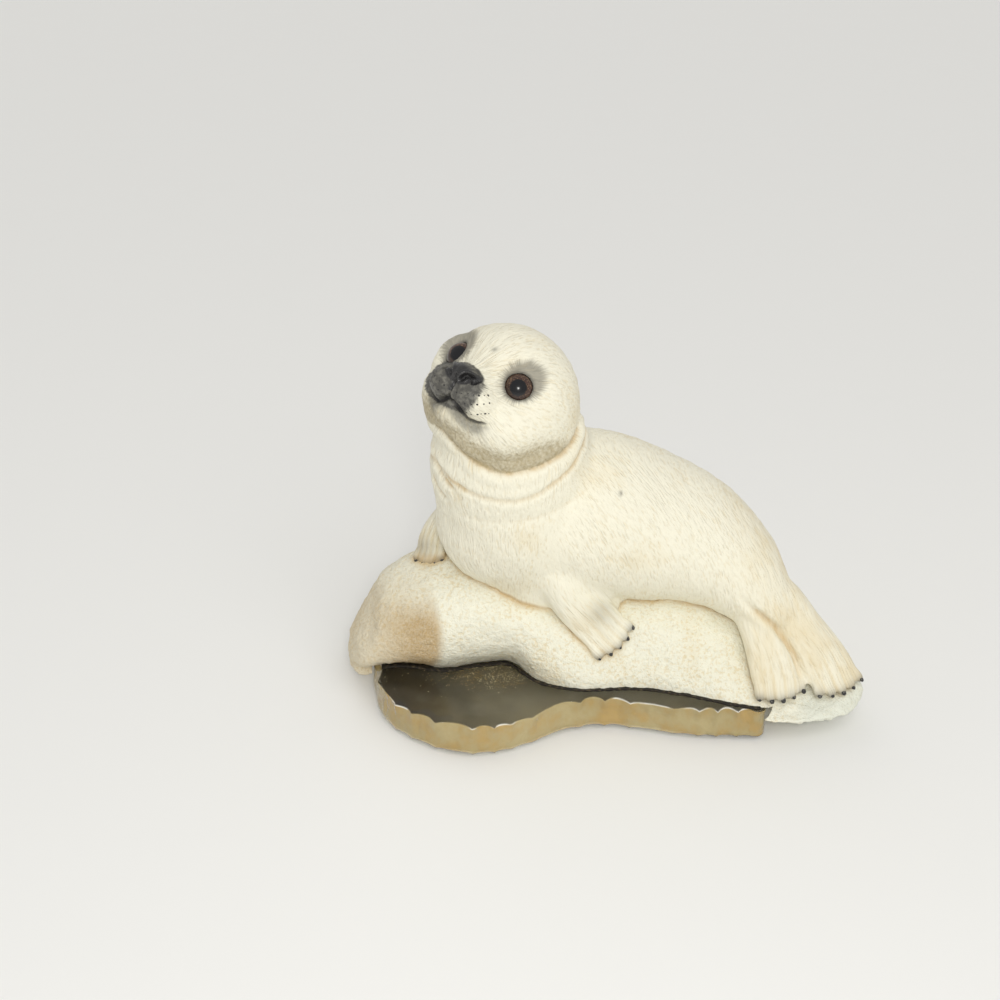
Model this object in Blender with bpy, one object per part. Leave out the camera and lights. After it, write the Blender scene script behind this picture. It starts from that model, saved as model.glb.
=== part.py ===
"""Seal pup figurine: a cold-cast pup on a snow bank, with glass eyes, on a clear resin ice slab.

Run with: blender --background --python part.py
Lengths are in metres. X runs along the pup from its chest to its tail, Y runs away from the
side that is looked at, and Z is up from the surface that the figurine stands on.
"""

import math
from typing import NamedTuple

import bmesh
import bpy
import numpy as np
from mathutils import Matrix, Vector

MM = 0.001

# The stack, from the table up
PAD_THICKNESS = 0.9 * MM
PAD_INSET = 3.0 * MM
GLUE_LINE = 0.3 * MM
SLAB_THICKNESS = 9.3 * MM
SLAB_BOTTOM = PAD_THICKNESS + GLUE_LINE
SLAB_TOP = SLAB_BOTTOM + SLAB_THICKNESS
CASTING_BASE = SLAB_TOP + GLUE_LINE

# The chipped edge of the slab
CHIP_PITCH = 9.0 * MM
CHIP_DEPTH = 2.6 * MM
EDGE_ROUND = 1.1 * MM
END_GAP = 0.6 * MM

# The whole figurine. The tables of the body, the snow and the slab's outline are drawn in
# millimetres for a casting of the drawn size, and stretch to these sizes.
FIGURE_LENGTH = 156.5 * MM
FIGURE_DEPTH = 80.1 * MM
CASTING_HEIGHT = 107.4 * MM
DRAWN_SIZE = (156.5, 80.1, 107.4)

# The head, in its own axes: forward to the nose, left, and up to the crown. Its lumps are drawn in
# millimetres on a skull of the drawn size, and stretch with it.
HEAD_CENTRE = (-31.9, 0.5, 85.5)
HEAD_YAW = math.radians(37.7)
HEAD_PITCH = math.radians(39.3)
HEAD_ROLL = math.radians(-8.7)
SKULL_LENGTH = 44.6 * MM
SKULL_WIDTH = 44.8 * MM
SKULL_HEIGHT = 45.0 * MM
DRAWN_SKULL = (44.6, 44.8, 45.0)

# The eyes
EYE_DIAMETER = 8.8 * MM
EYE_SEAT = (12.1, 11.0, 4.6)
SOCKET_GAP = 0.3 * MM
ORBIT_DEPTH = 3.6 * MM
ORBIT_WIDTH = 6.5 * MM
ORBIT_AXIS = (0.93, 0.32, 0.18)

# The mouth: left and up from the middle of the upper lip, in millimetres
MOUTH_LINE = ((0, -7.2), (3, -8.2), (5.8, -9.6), (8.6, -9.9), (12, -9.3))
MOUTH_DEPTH = 0.8 * MM
MOUTH_WIDTH = 0.75

# The toes at the end of each flipper
TOES = 5
TOE_LENGTH = 3.6 * MM
TOE_RADIUS = 1.75 * MM
TOE_BULGE = 1.5
TOE_SPREAD = 0.35

# The mesh of the clay, and what is left of it in the finished solid
CLAY_VOXEL = 0.9 * MM
FINE_VOXEL = 0.8 * MM
CASTING_TRIANGLES = 9600

COLOURS = {
    "casting": ((0.86, 0.82, 0.66), 0.62, 0.0),
    "glass_eye": ((0.06, 0.03, 0.02), 0.05, 0.0),
    "ice_resin": ((0.72, 0.60, 0.34), 0.12, 0.0),
    "felt": ((0.05, 0.045, 0.035), 0.95, 0.0),
}


class Ring(NamedTuple):
    """A cross-section of a limb or body: its centre and half sizes, in millimetres."""

    x: float
    y: float
    z: float
    across: float
    deep: float


# The trunk, from inside the chest to the ankles, above the casting's base
TRUNK = (
    Ring(-24, 4, 43, 21.0, 21.0),
    Ring(-15, 5, 45, 24.0, 25.0),
    Ring(-4, 7, 44, 26.0, 25.5),
    Ring(11, 8, 39.5, 25.5, 23.5),
    Ring(26, 6, 35, 23.5, 20.0),
    Ring(38, 0, 29.5, 19.0, 15.5),
    Ring(45, -6, 24.5, 14.5, 12.0),
    Ring(50, -10, 20, 10.5, 8.5),
)
NECK = (
    Ring(-20, 5, 30, 20.0, 20.0),
    Ring(-25, 4, 45, 24.0, 24.0),
    Ring(-28, 3, 58, 24.5, 23.5),
    Ring(-29.5, 2, 68, 24.0, 23.0),
    Ring(-31, 1, 77, 21.5, 21.0),
    Ring(-32, 0.5, 84, 17.0, 17.0),
)
FORE_FLIPPER = (
    Ring(-15, -9, 38, 8.0, 7.5),
    Ring(-13.5, -12.5, 31.5, 7.2, 6.2),
    Ring(-10, -14, 25.5, 7.4, 4.6),
    Ring(-4.2, -15.4, 19.6, 7.8, 3.2),
    Ring(0.2, -17.6, 15.4, 7.9, 2.3),
)
FAR_FORE_FLIPPER = (
    Ring(-36, 20, 37, 7.0, 7.0),
    Ring(-45, 19, 36.5, 6.2, 5.6),
    Ring(-50.5, 15, 34.5, 5.2, 4.2),
    Ring(-53.4, 9.5, 32.5, 4.8, 3.3),
    Ring(-54, 6, 30.5, 4.6, 2.5),
)
NEAR_HIND_FLIPPER = (
    Ring(43.5, -9, 23, 6.5, 6.0),
    Ring(46.2, -16, 16.5, 6.4, 4.8),
    Ring(49.3, -23.5, 9.0, 7.6, 3.6),
    Ring(50.8, -29, 5.2, 8.0, 2.5),
)
FAR_HIND_FLIPPER = (
    Ring(53, -9.5, 22.5, 7.0, 6.5),
    Ring(59.0, -14, 15, 7.8, 5.2),
    Ring(65.0, -20.5, 9.0, 8.6, 3.8),
    Ring(68.2, -26, 5.4, 8.8, 2.5),
)
# Lumps that fill the body out: their middles and radii
CHEST = ((-29.0, 3.0, 45.5), (23.0, 21.5, 23.5))
ARMPIT = ((-2.0, -8.5, 20.5), (7.0, 4.5, 3.5))

# Folds of the skin round the neck: three points on each, depth and half width, in millimetres
NECK_FOLDS = (
    (((-6.5, 3, 77), (-26.5, -21, 61), (-52, 0, 60)), 0.75, 1.3),
    (((-1, 1, 66), (-26.5, -21, 55), (-52, 0, 51)), 0.4, 2.0),
)
FOLD_REACH = 32 * MM


class Bank(NamedTuple):
    """A cross-section of the snow bank, in millimetres above the casting's base."""

    x: float
    foot: float
    bulge: float
    bulge_z: float
    brow: float
    brow_z: float
    crown_z: float
    back: float
    base_z: float


SNOW = (
    Bank(-79.5, -8, -9, 2, -7, 5, 7, 4, -2.5),
    Bank(-76, -11, -15, 3, -12, 9.5, 12.5, 14, -4),
    Bank(-72, -10, -17.5, 4.5, -14, 12, 19, 20, -4),
    Bank(-68, -8.5, -18, 6, -13, 18, 24, 23, -3),
    Bank(-59, -9, -19, 8, -13, 22, 28.5, 28, -3),
    Bank(-50, -12, -19.5, 9, -14, 24, 30, 31, -3),
    Bank(-39, -9.5, -18.5, 10, -15, 25, 32, 32, -3),
    Bank(-29, -8.5, -18, 10, -15, 23, 31, 32, -3),
    Bank(-21, -19, -21, 9, -15, 21, 29, 32, -3),
    Bank(-8, -24.5, -23, 6, -14, 18, 27, 31, -3),
    Bank(8, -23.5, -22, 5, -12.5, 18.5, 26, 30, -3),
    Bank(24, -27, -25, 4, -14, 17, 24, 26, -3),
    Bank(36, -31.5, -29, 3, -15.5, 13, 21, 21, -3),
    Bank(43.5, -33, -32, 1.5, -21, 7, 17, 16, -3),
    Bank(50, -35, -34, -0.5, -27, 3, 13.5, 11, -3),
    Bank(60, -34, -34, -1.5, -28, 2, 7, 4, -3.5),
    Bank(71, -32, -32, -1.5, -27, 2.2, 3.5, -8, -3.5),
    Bank(77, -26, -26, -1, -23, 1.5, 2, -16, -2.5),
)

# The slab's outline from its left end round the front to its back, in millimetres
SLAB_OUTLINE = (
    (-72.5, -4), (-71.5, -14), (-68, -26), (-61.5, -34), (-53, -40), (-43, -43.6),
    (-31.5, -42.2), (-20.5, -36.8), (-11, -31.8), (0, -30), (12, -32), (26, -35), (38, -35.4),
    (44.5, -35.2), (47.3, -32), (47, -22), (44.5, -8), (42, 8), (36, 20), (22, 29), (4, 34), (-16, 36),
    (-36, 36), (-54, 31), (-66, 20), (-72, 8),
)


def smooth_through(points, per_span=6, closed=False):
    """Points read from a Catmull-Rom curve through the rows of an array."""
    points = np.asarray(points, float)
    count = len(points)
    spans = count if closed else count - 1
    found = []
    for i in range(spans):
        near = [(i + k) % count if closed else min(max(i + k, 0), count - 1) for k in (-1, 0, 1, 2)]
        a, b, c, d = (points[k] for k in near)
        for t in np.arange(per_span) / per_span:
            found.append(
                0.5 * (2 * b + (c - a) * t + (2 * a - 5 * b + 4 * c - d) * t**2
                       + (3 * b - a - 3 * c + d) * t**3)
            )
    if not closed:
        found.append(points[-1])
    return np.array(found)


def new_object(name, bm):
    """A linked object that owns the mesh of a bmesh, with its faces turned outwards."""
    bmesh.ops.recalc_face_normals(bm, faces=bm.faces)
    mesh = bpy.data.meshes.new(name)
    bm.to_mesh(mesh)
    bm.free()
    made = bpy.data.objects.new(name, mesh)
    bpy.context.scene.collection.objects.link(made)
    return made


def skin_rings(name, rings, flat_ends=False):
    """A closed solid through rings of points, its ends flat faces or fans round a middle point."""
    bm = bmesh.new()
    loops = [[bm.verts.new(p) for p in ring] for ring in rings]
    count = len(loops[0])
    for lower, upper in zip(loops, loops[1:]):
        for i in range(count):
            j = (i + 1) % count
            bm.faces.new((lower[i], lower[j], upper[j], upper[i]))
    for loop in (loops[0], loops[-1]):
        if flat_ends:
            bm.faces.new(loop)
            continue
        pole = bm.verts.new(sum((v.co for v in loop), Vector()) / count)
        for i in range(count):
            bm.faces.new((loop[i], loop[(i + 1) % count], pole))
    return new_object(name, bm)


def figure_matrix():
    """From the tables' millimetres above the casting's base to the model's metres."""
    sizes = (FIGURE_LENGTH, FIGURE_DEPTH, CASTING_HEIGHT)
    stretch = [size / drawn for size, drawn in zip(sizes, DRAWN_SIZE)]
    return Matrix.Translation((0, 0, CASTING_BASE)) @ Matrix.Diagonal((*stretch, 1.0))


def on_figure(point):
    """A drawn point of the body or snow, as it lies in the model."""
    return figure_matrix() @ Vector(point)


def limb(name, stations, side, points=36):
    """A round-ended tube through elliptical rings, whose wider half size lies along side."""
    path = smooth_through([tuple(s) for s in stations])
    centres, sizes = path[:, :3], path[:, 3:]
    along = np.gradient(centres, axis=0)
    along /= np.linalg.norm(along, axis=1)[:, None]
    angles = np.linspace(0, 2 * math.pi, points, endpoint=False)
    rings = []

    def add(centre, tangent, size):
        v = np.array(side) - np.dot(side, tangent) * tangent
        v /= np.linalg.norm(v)
        w = np.cross(tangent, v)
        rings.append([centre + size[0] * math.cos(a) * v + size[1] * math.sin(a) * w for a in angles])

    round_steps = (0.97, 0.87, 0.7, 0.47, 0.2)
    for s in reversed(round_steps):
        add(centres[0] - along[0] * sizes[0, 1] * s, along[0], sizes[0] * math.sqrt(1 - s * s))
    for centre, tangent, size in zip(centres, along, sizes):
        add(centre, tangent, size)
    for s in sorted(round_steps):
        add(centres[-1] + along[-1] * sizes[-1, 1] * s, along[-1], sizes[-1] * math.sqrt(1 - s * s))
    made = skin_rings(name, rings)
    made.data.transform(figure_matrix())
    return made


def blob(name, placing, radii):
    """An ellipsoid with the given radii along the axes of a placing matrix."""
    bm = bmesh.new()
    bmesh.ops.create_icosphere(bm, subdivisions=4, radius=1.0)
    bm.transform(placing @ Matrix.Diagonal((*radii, 1.0)))
    return new_object(name, bm)


def fuse(name, clay, voxel, rounds, factor=0.5):
    """One skin round overlapping lumps of clay, smoothed so that their joins blend."""
    for lump in clay[1:]:
        bm = bmesh.new()
        bm.from_mesh(clay[0].data)
        bm.from_mesh(lump.data)
        bm.to_mesh(clay[0].data)
        bm.free()
        bpy.data.objects.remove(lump)
    first = clay[0]
    remesh = first.modifiers.new("skin", "REMESH")
    remesh.mode = "VOXEL"
    remesh.voxel_size = voxel
    soften = first.modifiers.new("soften", "SMOOTH")
    soften.factor = factor
    soften.iterations = rounds
    return bake(name, first)


def bake(name, source):
    """A plain object with the evaluated mesh of source, which is removed."""
    graph = bpy.context.evaluated_depsgraph_get()
    mesh = bpy.data.meshes.new_from_object(source.evaluated_get(graph))
    bpy.data.objects.remove(source)
    made = bpy.data.objects.new(name, mesh)
    bpy.context.scene.collection.objects.link(made)
    return made


def points_of(thing):
    """The vertices of a mesh object as an array."""
    flat = np.empty(len(thing.data.vertices) * 3)
    thing.data.vertices.foreach_get("co", flat)
    return flat.reshape(-1, 3)


def normals_of(thing):
    """The vertex normals of a mesh object as an array."""
    flat = np.empty(len(thing.data.vertices) * 3)
    thing.data.vertices.foreach_get("normal", flat)
    return flat.reshape(-1, 3)


def move_points(thing, points):
    """Writes an array back as the vertices of a mesh object."""
    thing.data.vertices.foreach_set("co", points.ravel())
    thing.data.update()


def press_fold(thing, through, depth, width, centre, reach):
    """Presses a groove where the plane through three points cuts the skin near a centre."""
    a, b, c = (np.array(on_figure(p)) for p in through)
    normal = np.cross(b - a, c - a)
    normal /= np.linalg.norm(normal)
    points = points_of(thing)
    off = (points - a) @ normal
    near = np.clip(1.3 - np.linalg.norm(points - np.array(centre), axis=1) / reach, 0, 1)
    groove = np.exp(-((off / (width * MM)) ** 2))
    rolls = 0.45 * np.exp(-(((np.abs(off) - 2.4 * width * MM) / (1.3 * width * MM)) ** 2))
    amount = (rolls - groove) * np.minimum(near * 3, 1) * depth * MM
    move_points(thing, points + normals_of(thing) * amount[:, None])


def head_axes():
    """The turn of the head: columns forward, left and up."""
    forward = Vector((
        -math.sin(HEAD_YAW) * math.cos(HEAD_PITCH),
        -math.cos(HEAD_YAW) * math.cos(HEAD_PITCH),
        math.sin(HEAD_PITCH),
    ))
    level = Vector((0, 0, 1)).cross(forward).normalized()
    crown = forward.cross(level)
    left = math.cos(HEAD_ROLL) * level + math.sin(HEAD_ROLL) * crown
    return forward, left, forward.cross(left)


def head_turn():
    """The head's own axes as a turning matrix."""
    return Matrix(head_axes()).transposed()


def head_matrix():
    """From the head's drawn millimetres, in its own axes, to the model's metres."""
    sizes = (SKULL_LENGTH, SKULL_WIDTH, SKULL_HEIGHT)
    stretch = [size / drawn for size, drawn in zip(sizes, DRAWN_SKULL)]
    centre = Matrix.Translation(on_figure(HEAD_CENTRE))
    return centre @ head_turn().to_4x4() @ Matrix.Diagonal((*stretch, 1.0))


def eye_centre(side, forward=1.0):
    """Where the middle of an eye lies, or a point a share further forward."""
    seat_forward, seat_left, seat_up = EYE_SEAT
    return head_matrix() @ Vector((seat_forward * forward, seat_left * side, seat_up))


def head_lump(name, at, radii):
    """An ellipsoid of the head: its place and radii in millimetres, in the head's axes."""
    return blob(name, head_matrix() @ Matrix.Translation(at), radii)


def press_orbits(head):
    """Presses the shallow hollow that each eye sits in."""
    points = points_of(head)
    ahead, aside, upward = ORBIT_AXIS
    for side in (1, -1):
        axis = np.array(head_turn() @ Vector((ahead, aside * side, upward)))
        off = points - np.array(eye_centre(side, 1.1))
        along = off @ axis
        far = np.linalg.norm(off - along[:, None] * axis, axis=1)
        pull = ORBIT_DEPTH * np.exp(-((far / ORBIT_WIDTH) ** 2)) * (along > -6 * MM)
        points -= pull[:, None] * axis
    move_points(head, points)


def press_mouth(head):
    """Presses the line of the mouth under the two whisker pads."""
    inverse = np.array(head_matrix().inverted())
    points = points_of(head)
    local = points @ inverse[:3, :3].T + inverse[:3, 3]
    line = smooth_through(MOUTH_LINE, 8)
    line = np.concatenate([line[::-1] * (-1, 1), line[1:]])
    away = np.linalg.norm(local[:, None, 1:] - line[None], axis=2).min(axis=1)
    pull = MOUTH_DEPTH * np.exp(-((away / MOUTH_WIDTH) ** 2)) * (local[:, 0] > 8)
    move_points(head, points - normals_of(head) * pull[:, None])


def make_head():
    """The head: skull, cheeks, brow, muzzle pads, nose and chin as one skin."""
    lumps = [
        head_lump("skull", (-0.6, 0, 0), [size / 2 for size in DRAWN_SKULL]),
        head_lump("snout", (11.5, 0, -3), (11, 12.5, 9.5)),
        head_lump("bridge", (15, 0, 1.6), (8.5, 6.0, 5.0)),
        head_lump("column", (20, 0, -3.5), (5.2, 4, 5.2)),
        head_lump("nose", (23.0, 0, 0.6), (3.6, 4.6, 3.0)),
        head_lump("chin", (13.4, 0, -10.4), (8.4, 9, 4.8)),
    ]
    for side in (1, -1):
        lumps.append(head_lump("cheek", (4, side * 8, -4.6), (14.4, 13, 12.6)))
        lumps.append(head_lump("whisker_pad", (17.8, side * 5.2, -3.5), (8, 6.6, 5.2)))
    head = fuse("head", lumps, FINE_VOXEL, 8)
    press_orbits(head)
    press_mouth(head)
    return head


def make_toes(name, stations, side):
    """The toes at the end of a flipper, as a fan of short rounded lumps."""
    path = smooth_through([tuple(s) for s in stations])
    tip, before = path[-1], path[-5]
    along = Vector(tip[:3] - before[:3]).normalized()
    across = (Vector(side) - Vector(side).dot(along) * along).normalized()
    toes = []
    for i in range(TOES):
        share = 2 * (i + 0.5) / TOES - 1
        centre = Vector(tip[:3]) + along * (1 - share**2) * TOE_BULGE
        centre += across * share * (tip[3] - 0.2 * TOE_RADIUS / MM)
        out = (along + TOE_SPREAD * share * across).normalized()
        third = out.cross(across).normalized()
        turn = Matrix((out, third.cross(out), third)).transposed().to_4x4()
        place = Matrix.Translation(on_figure(centre)) @ turn
        toes.append(blob(f"{name}_toe", place, (TOE_LENGTH, TOE_RADIUS, TOE_RADIUS * 0.95)))
    return toes


def make_body():
    """Trunk, neck, chest and flippers as one skin, with the folds of the neck pressed in."""
    flippers = {
        "fore": (FORE_FLIPPER, (0.6, 0.33, 0.53)),
        "far_fore": (FAR_FORE_FLIPPER, (0.9, -0.35, 0.0)),
        "near_hind": (NEAR_HIND_FLIPPER, (1.0, 0.1, 0.0)),
        "far_hind": (FAR_HIND_FLIPPER, (0.9, 0.45, 0.1)),
    }
    clay = [
        limb("trunk", TRUNK, (0, 1, 0)),
        limb("neck", NECK, (1, 0, 0)),
        blob("chest", figure_matrix() @ Matrix.Translation(CHEST[0]), CHEST[1]),
        blob("armpit", figure_matrix() @ Matrix.Translation(ARMPIT[0]), ARMPIT[1]),
    ]
    toes = []
    for name, (stations, side) in flippers.items():
        clay.append(limb(name, stations, side))
        toes += make_toes(name, stations, side)
    body = fuse("body", clay, CLAY_VOXEL, 14)
    body = fuse("body", [body, *toes], FINE_VOXEL, 3)
    neck = on_figure(NECK[2][:3])
    for through, depth, width in NECK_FOLDS:
        press_fold(body, through, depth, width, neck, FOLD_REACH)
    return body


def make_snow():
    """The snow bank: sections along the pup, skinned and softened into drifts."""
    rows = []
    for s in SNOW:
        middle = 0.5 * (s.brow + s.back)
        rows.append([
            (s.x, s.foot, s.base_z), (s.x, s.foot, 0.4 * s.base_z), (s.x, s.bulge, s.bulge_z),
            (s.x, s.brow, s.brow_z), (s.x, middle, s.crown_z), (s.x, s.back - 4, s.brow_z * 0.8),
            (s.x, s.back, s.bulge_z), (s.x, s.back - 2, s.base_z),
        ])
    grid = np.array([smooth_through(r, 5, closed=True) for r in rows])
    grid = smooth_through(grid.reshape(len(rows), -1), 4).reshape(-1, grid.shape[1], 3)
    bank = skin_rings("snow", grid)
    bank.data.transform(figure_matrix())
    return fuse("snow", [bank], CLAY_VOXEL, 6)


def make_casting():
    """The pup and its snow, cast in one piece, with a flat seat on the slab."""
    pup = fuse("pup", [make_body(), make_head()], FINE_VOXEL, 1)
    casting = fuse("casting", [pup, make_snow()], FINE_VOXEL, 1)
    thin = casting.modifiers.new("thin", "DECIMATE")
    thin.ratio = CASTING_TRIANGLES / (2 * len(casting.data.polygons))
    return casting


def cut(target, cutter):
    """Cuts a hidden helper out of a solid."""
    cutter.hide_render = True
    cutter.display_type = "WIRE"
    difference = target.modifiers.new(cutter.name, "BOOLEAN")
    difference.operation = "DIFFERENCE"
    difference.object = cutter


def ball(name, radius, centre):
    """A round ball of glass, or the hollow that holds it."""
    bm = bmesh.new()
    bmesh.ops.create_uvsphere(bm, u_segments=20, v_segments=12, radius=radius)
    made = new_object(name, bm)
    made.location = centre
    return made


def finish(thing, name, colour):
    """Names a finished solid and gives it its material and smooth shading."""
    base, roughness, metallic = COLOURS[colour]
    thing.name = thing.data.name = name
    material = bpy.data.materials.new(name)
    material.use_nodes = True
    shader = material.node_tree.nodes["Principled BSDF"]
    shader.inputs["Base Color"].default_value = (*base, 1.0)
    shader.inputs["Roughness"].default_value = roughness
    shader.inputs["Metallic"].default_value = metallic
    thing.data.materials.clear()
    thing.data.materials.append(material)
    thing.data.shade_smooth()


def outline_points(inset):
    """The slab's outline, drawn in by an inset along its normals."""
    points = smooth_through(SLAB_OUTLINE, 6, closed=True)
    points *= (FIGURE_LENGTH / DRAWN_SIZE[0], FIGURE_DEPTH / DRAWN_SIZE[1])
    tangent = np.roll(points, -1, axis=0) - np.roll(points, 1, axis=0)
    tangent /= np.linalg.norm(tangent, axis=1)[:, None]
    inward = np.stack([-tangent[:, 1], tangent[:, 0]], axis=1)
    return points + inward * np.asarray(inset).reshape(-1, 1)


def chips():
    """How deep the chipped edge bites at each point of the outline: a row of shallow scallops."""
    points = outline_points(0.0)
    steps = np.linalg.norm(np.roll(points, -1, axis=0) - points, axis=1)
    run = np.concatenate([[0], np.cumsum(steps)[:-1]])
    count = round(steps.sum() / CHIP_PITCH)
    phase = run / steps.sum() * count
    sway = 0.22 * np.sin(phase * 2.1) + 0.15 * np.sin(phase * 0.9 + 1.0)
    bite = 0.75 + 0.25 * np.sin(phase * 1.3 + 0.6)
    return CHIP_DEPTH * bite * np.sqrt(np.abs(np.sin(math.pi * (phase + sway))))


def make_slab():
    """The clear resin slab, with chipped sides and softened edges."""
    chip = chips()
    levels = ((0.0, 0.5), (0.08, 0.0), (0.5, 0.35), (0.82, 0.62), (0.96, 0.8), (1.0, 1.0))
    rings = []
    for share, pull in levels:
        plan = outline_points(EDGE_ROUND * (pull > 0.9) + chip * pull)
        height = SLAB_BOTTOM + share * SLAB_THICKNESS
        rings.append([(x, y, height) for x, y in plan])
    return skin_rings("ice_slab", rings, flat_ends=True)


def make_seat_cutter():
    """What the slab takes out of the snow: its own outline with a gap round it."""
    plan = outline_points(-END_GAP)
    rings = [[(x, y, z) for x, y in plan] for z in (0.0, CASTING_BASE)]
    return skin_rings("seat_cutter", rings, flat_ends=True)


def make_pad():
    """The felt pad under the slab."""
    plan = outline_points(PAD_INSET)[::2]
    rings = [[(x, y, z) for x, y in plan] for z in (0.0, PAD_THICKNESS)]
    return skin_rings("felt_pad", rings, flat_ends=True)


def main():
    """Builds every piece of the figurine in place."""
    for thing in list(bpy.data.objects):
        bpy.data.objects.remove(thing)
    casting = make_casting()
    cut(casting, make_seat_cutter())
    for name, side in (("left_eye", 1), ("right_eye", -1)):
        at = eye_centre(side)
        cut(casting, ball(name + "_socket", EYE_DIAMETER / 2 + SOCKET_GAP, at))
        finish(ball(name, EYE_DIAMETER / 2, at), name, "glass_eye")
    finish(casting, "pup_and_snow", "casting")
    finish(make_slab(), "ice_slab", "ice_resin")
    finish(make_pad(), "felt_pad", "felt")


main()
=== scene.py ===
"""Seal pup figurine: the painted casting, its glass eyes, the chipped ice slab and the studio.

Lengths in the tables are millimetres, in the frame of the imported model: X from the pup's chest to
its tail, Y away from the side that is looked at, Z up from the surface it stands on.
"""

import logging
import math
from contextlib import contextmanager
from dataclasses import dataclass, field
from enum import Enum
from typing import Any, Callable, Iterator, NamedTuple, Sequence

import bmesh
import bpy
import numpy as np
from mathutils import Matrix, Vector, noise
from mathutils.bvhtree import BVHTree

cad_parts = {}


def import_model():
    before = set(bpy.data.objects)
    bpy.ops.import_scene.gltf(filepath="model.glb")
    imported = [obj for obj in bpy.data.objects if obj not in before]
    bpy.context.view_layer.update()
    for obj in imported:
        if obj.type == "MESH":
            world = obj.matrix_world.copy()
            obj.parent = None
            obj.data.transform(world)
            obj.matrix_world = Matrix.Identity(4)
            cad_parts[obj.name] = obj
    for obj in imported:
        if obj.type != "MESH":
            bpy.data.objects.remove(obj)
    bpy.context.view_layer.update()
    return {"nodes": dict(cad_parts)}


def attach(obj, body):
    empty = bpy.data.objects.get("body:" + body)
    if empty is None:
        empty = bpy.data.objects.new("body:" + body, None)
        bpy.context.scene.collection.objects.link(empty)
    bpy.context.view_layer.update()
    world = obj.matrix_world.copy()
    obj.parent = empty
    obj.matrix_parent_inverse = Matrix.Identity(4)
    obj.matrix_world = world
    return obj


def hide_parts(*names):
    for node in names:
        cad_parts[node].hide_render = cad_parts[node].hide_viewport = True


LOG = logging.getLogger("seal_figurine")
MM = 0.001
BODY = "root"

Points = np.ndarray
Colour = tuple[float, float, float]


class Slot(Enum):
    """The record's material slots."""

    CASTING = "casting"
    EYE_GLASS = "eye_glass"
    ICE_RESIN = "ice_resin"
    FELT = "felt"


def linear(red: int, green: int, blue: int) -> Colour:
    """A colour as a shader takes it, from the 0 to 255 values that a screen shows."""
    channels = []
    for value in (red, green, blue):
        share = value / 255
        low = share <= 0.04045
        channels.append(share / 12.92 if low else ((share + 0.055) / 1.055) ** 2.4)
    return (channels[0], channels[1], channels[2])


def bell(away: Points, width: float, middle: float = 0.0) -> Points:
    """A soft hump: 1 at the middle, and falling away on both sides of it."""
    return np.exp(-(((away - middle) / width) ** 2))


def ramp(value: Points, low: float, high: float) -> Points:
    """A straight rise from 0 at low to 1 at high, or a fall where low is the larger."""
    return np.clip((value - low) / (high - low), 0, 1)


def radial(first: Points, second: Points, least: float, size: float, along: Points) -> Points:
    """Coordinates that run out from an axis.

    Args:
        first: The place across the axis.
        second: The place across it the other way.
        least: The least distance from the axis that counts.
        size: How far apart the directions lie.
        along: The place along the axis.

    Returns:
        The direction from the axis as two numbers, and the place along it.
    """
    reach = np.maximum(np.hypot(first, second), least)
    return np.stack([first / reach * size, second / reach * size, along], axis=1)


class Press(NamedTuple):
    """A rounded ridge, or a groove where its height is negative, at a distance from a line."""

    height: float
    width: float
    middle: float = 0.0


def relief(away: Points, form: Sequence[Press]) -> Points:
    """The height of several ridges and grooves at some distances from a line."""
    return sum(press.height * bell(away, press.width, press.middle) for press in form)


def arithmetic(operation: str, flip: bool = False) -> Callable:
    """A method for a wire that joins it with another value in one Math node.

    Args:
        operation: The node's operation.
        flip: Whether the other value comes first.

    Returns:
        The method.
    """
    def method(self: "Wire", other: Any) -> "Wire":
        """This number joined with another."""
        return self.graph.maths(operation, *((other, self) if flip else (self, other)))

    return method


@dataclass(frozen=True)
class Wire:
    """A number that runs through a node tree, and takes part in sums and products."""

    graph: "Graph"
    socket: Any

    __add__ = arithmetic("ADD")
    __radd__ = arithmetic("ADD", flip=True)
    __sub__ = arithmetic("SUBTRACT")
    __rsub__ = arithmetic("SUBTRACT", flip=True)
    __mul__ = arithmetic("MULTIPLY")
    __rmul__ = arithmetic("MULTIPLY", flip=True)
    __truediv__ = arithmetic("DIVIDE")
    __pow__ = arithmetic("POWER")


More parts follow.
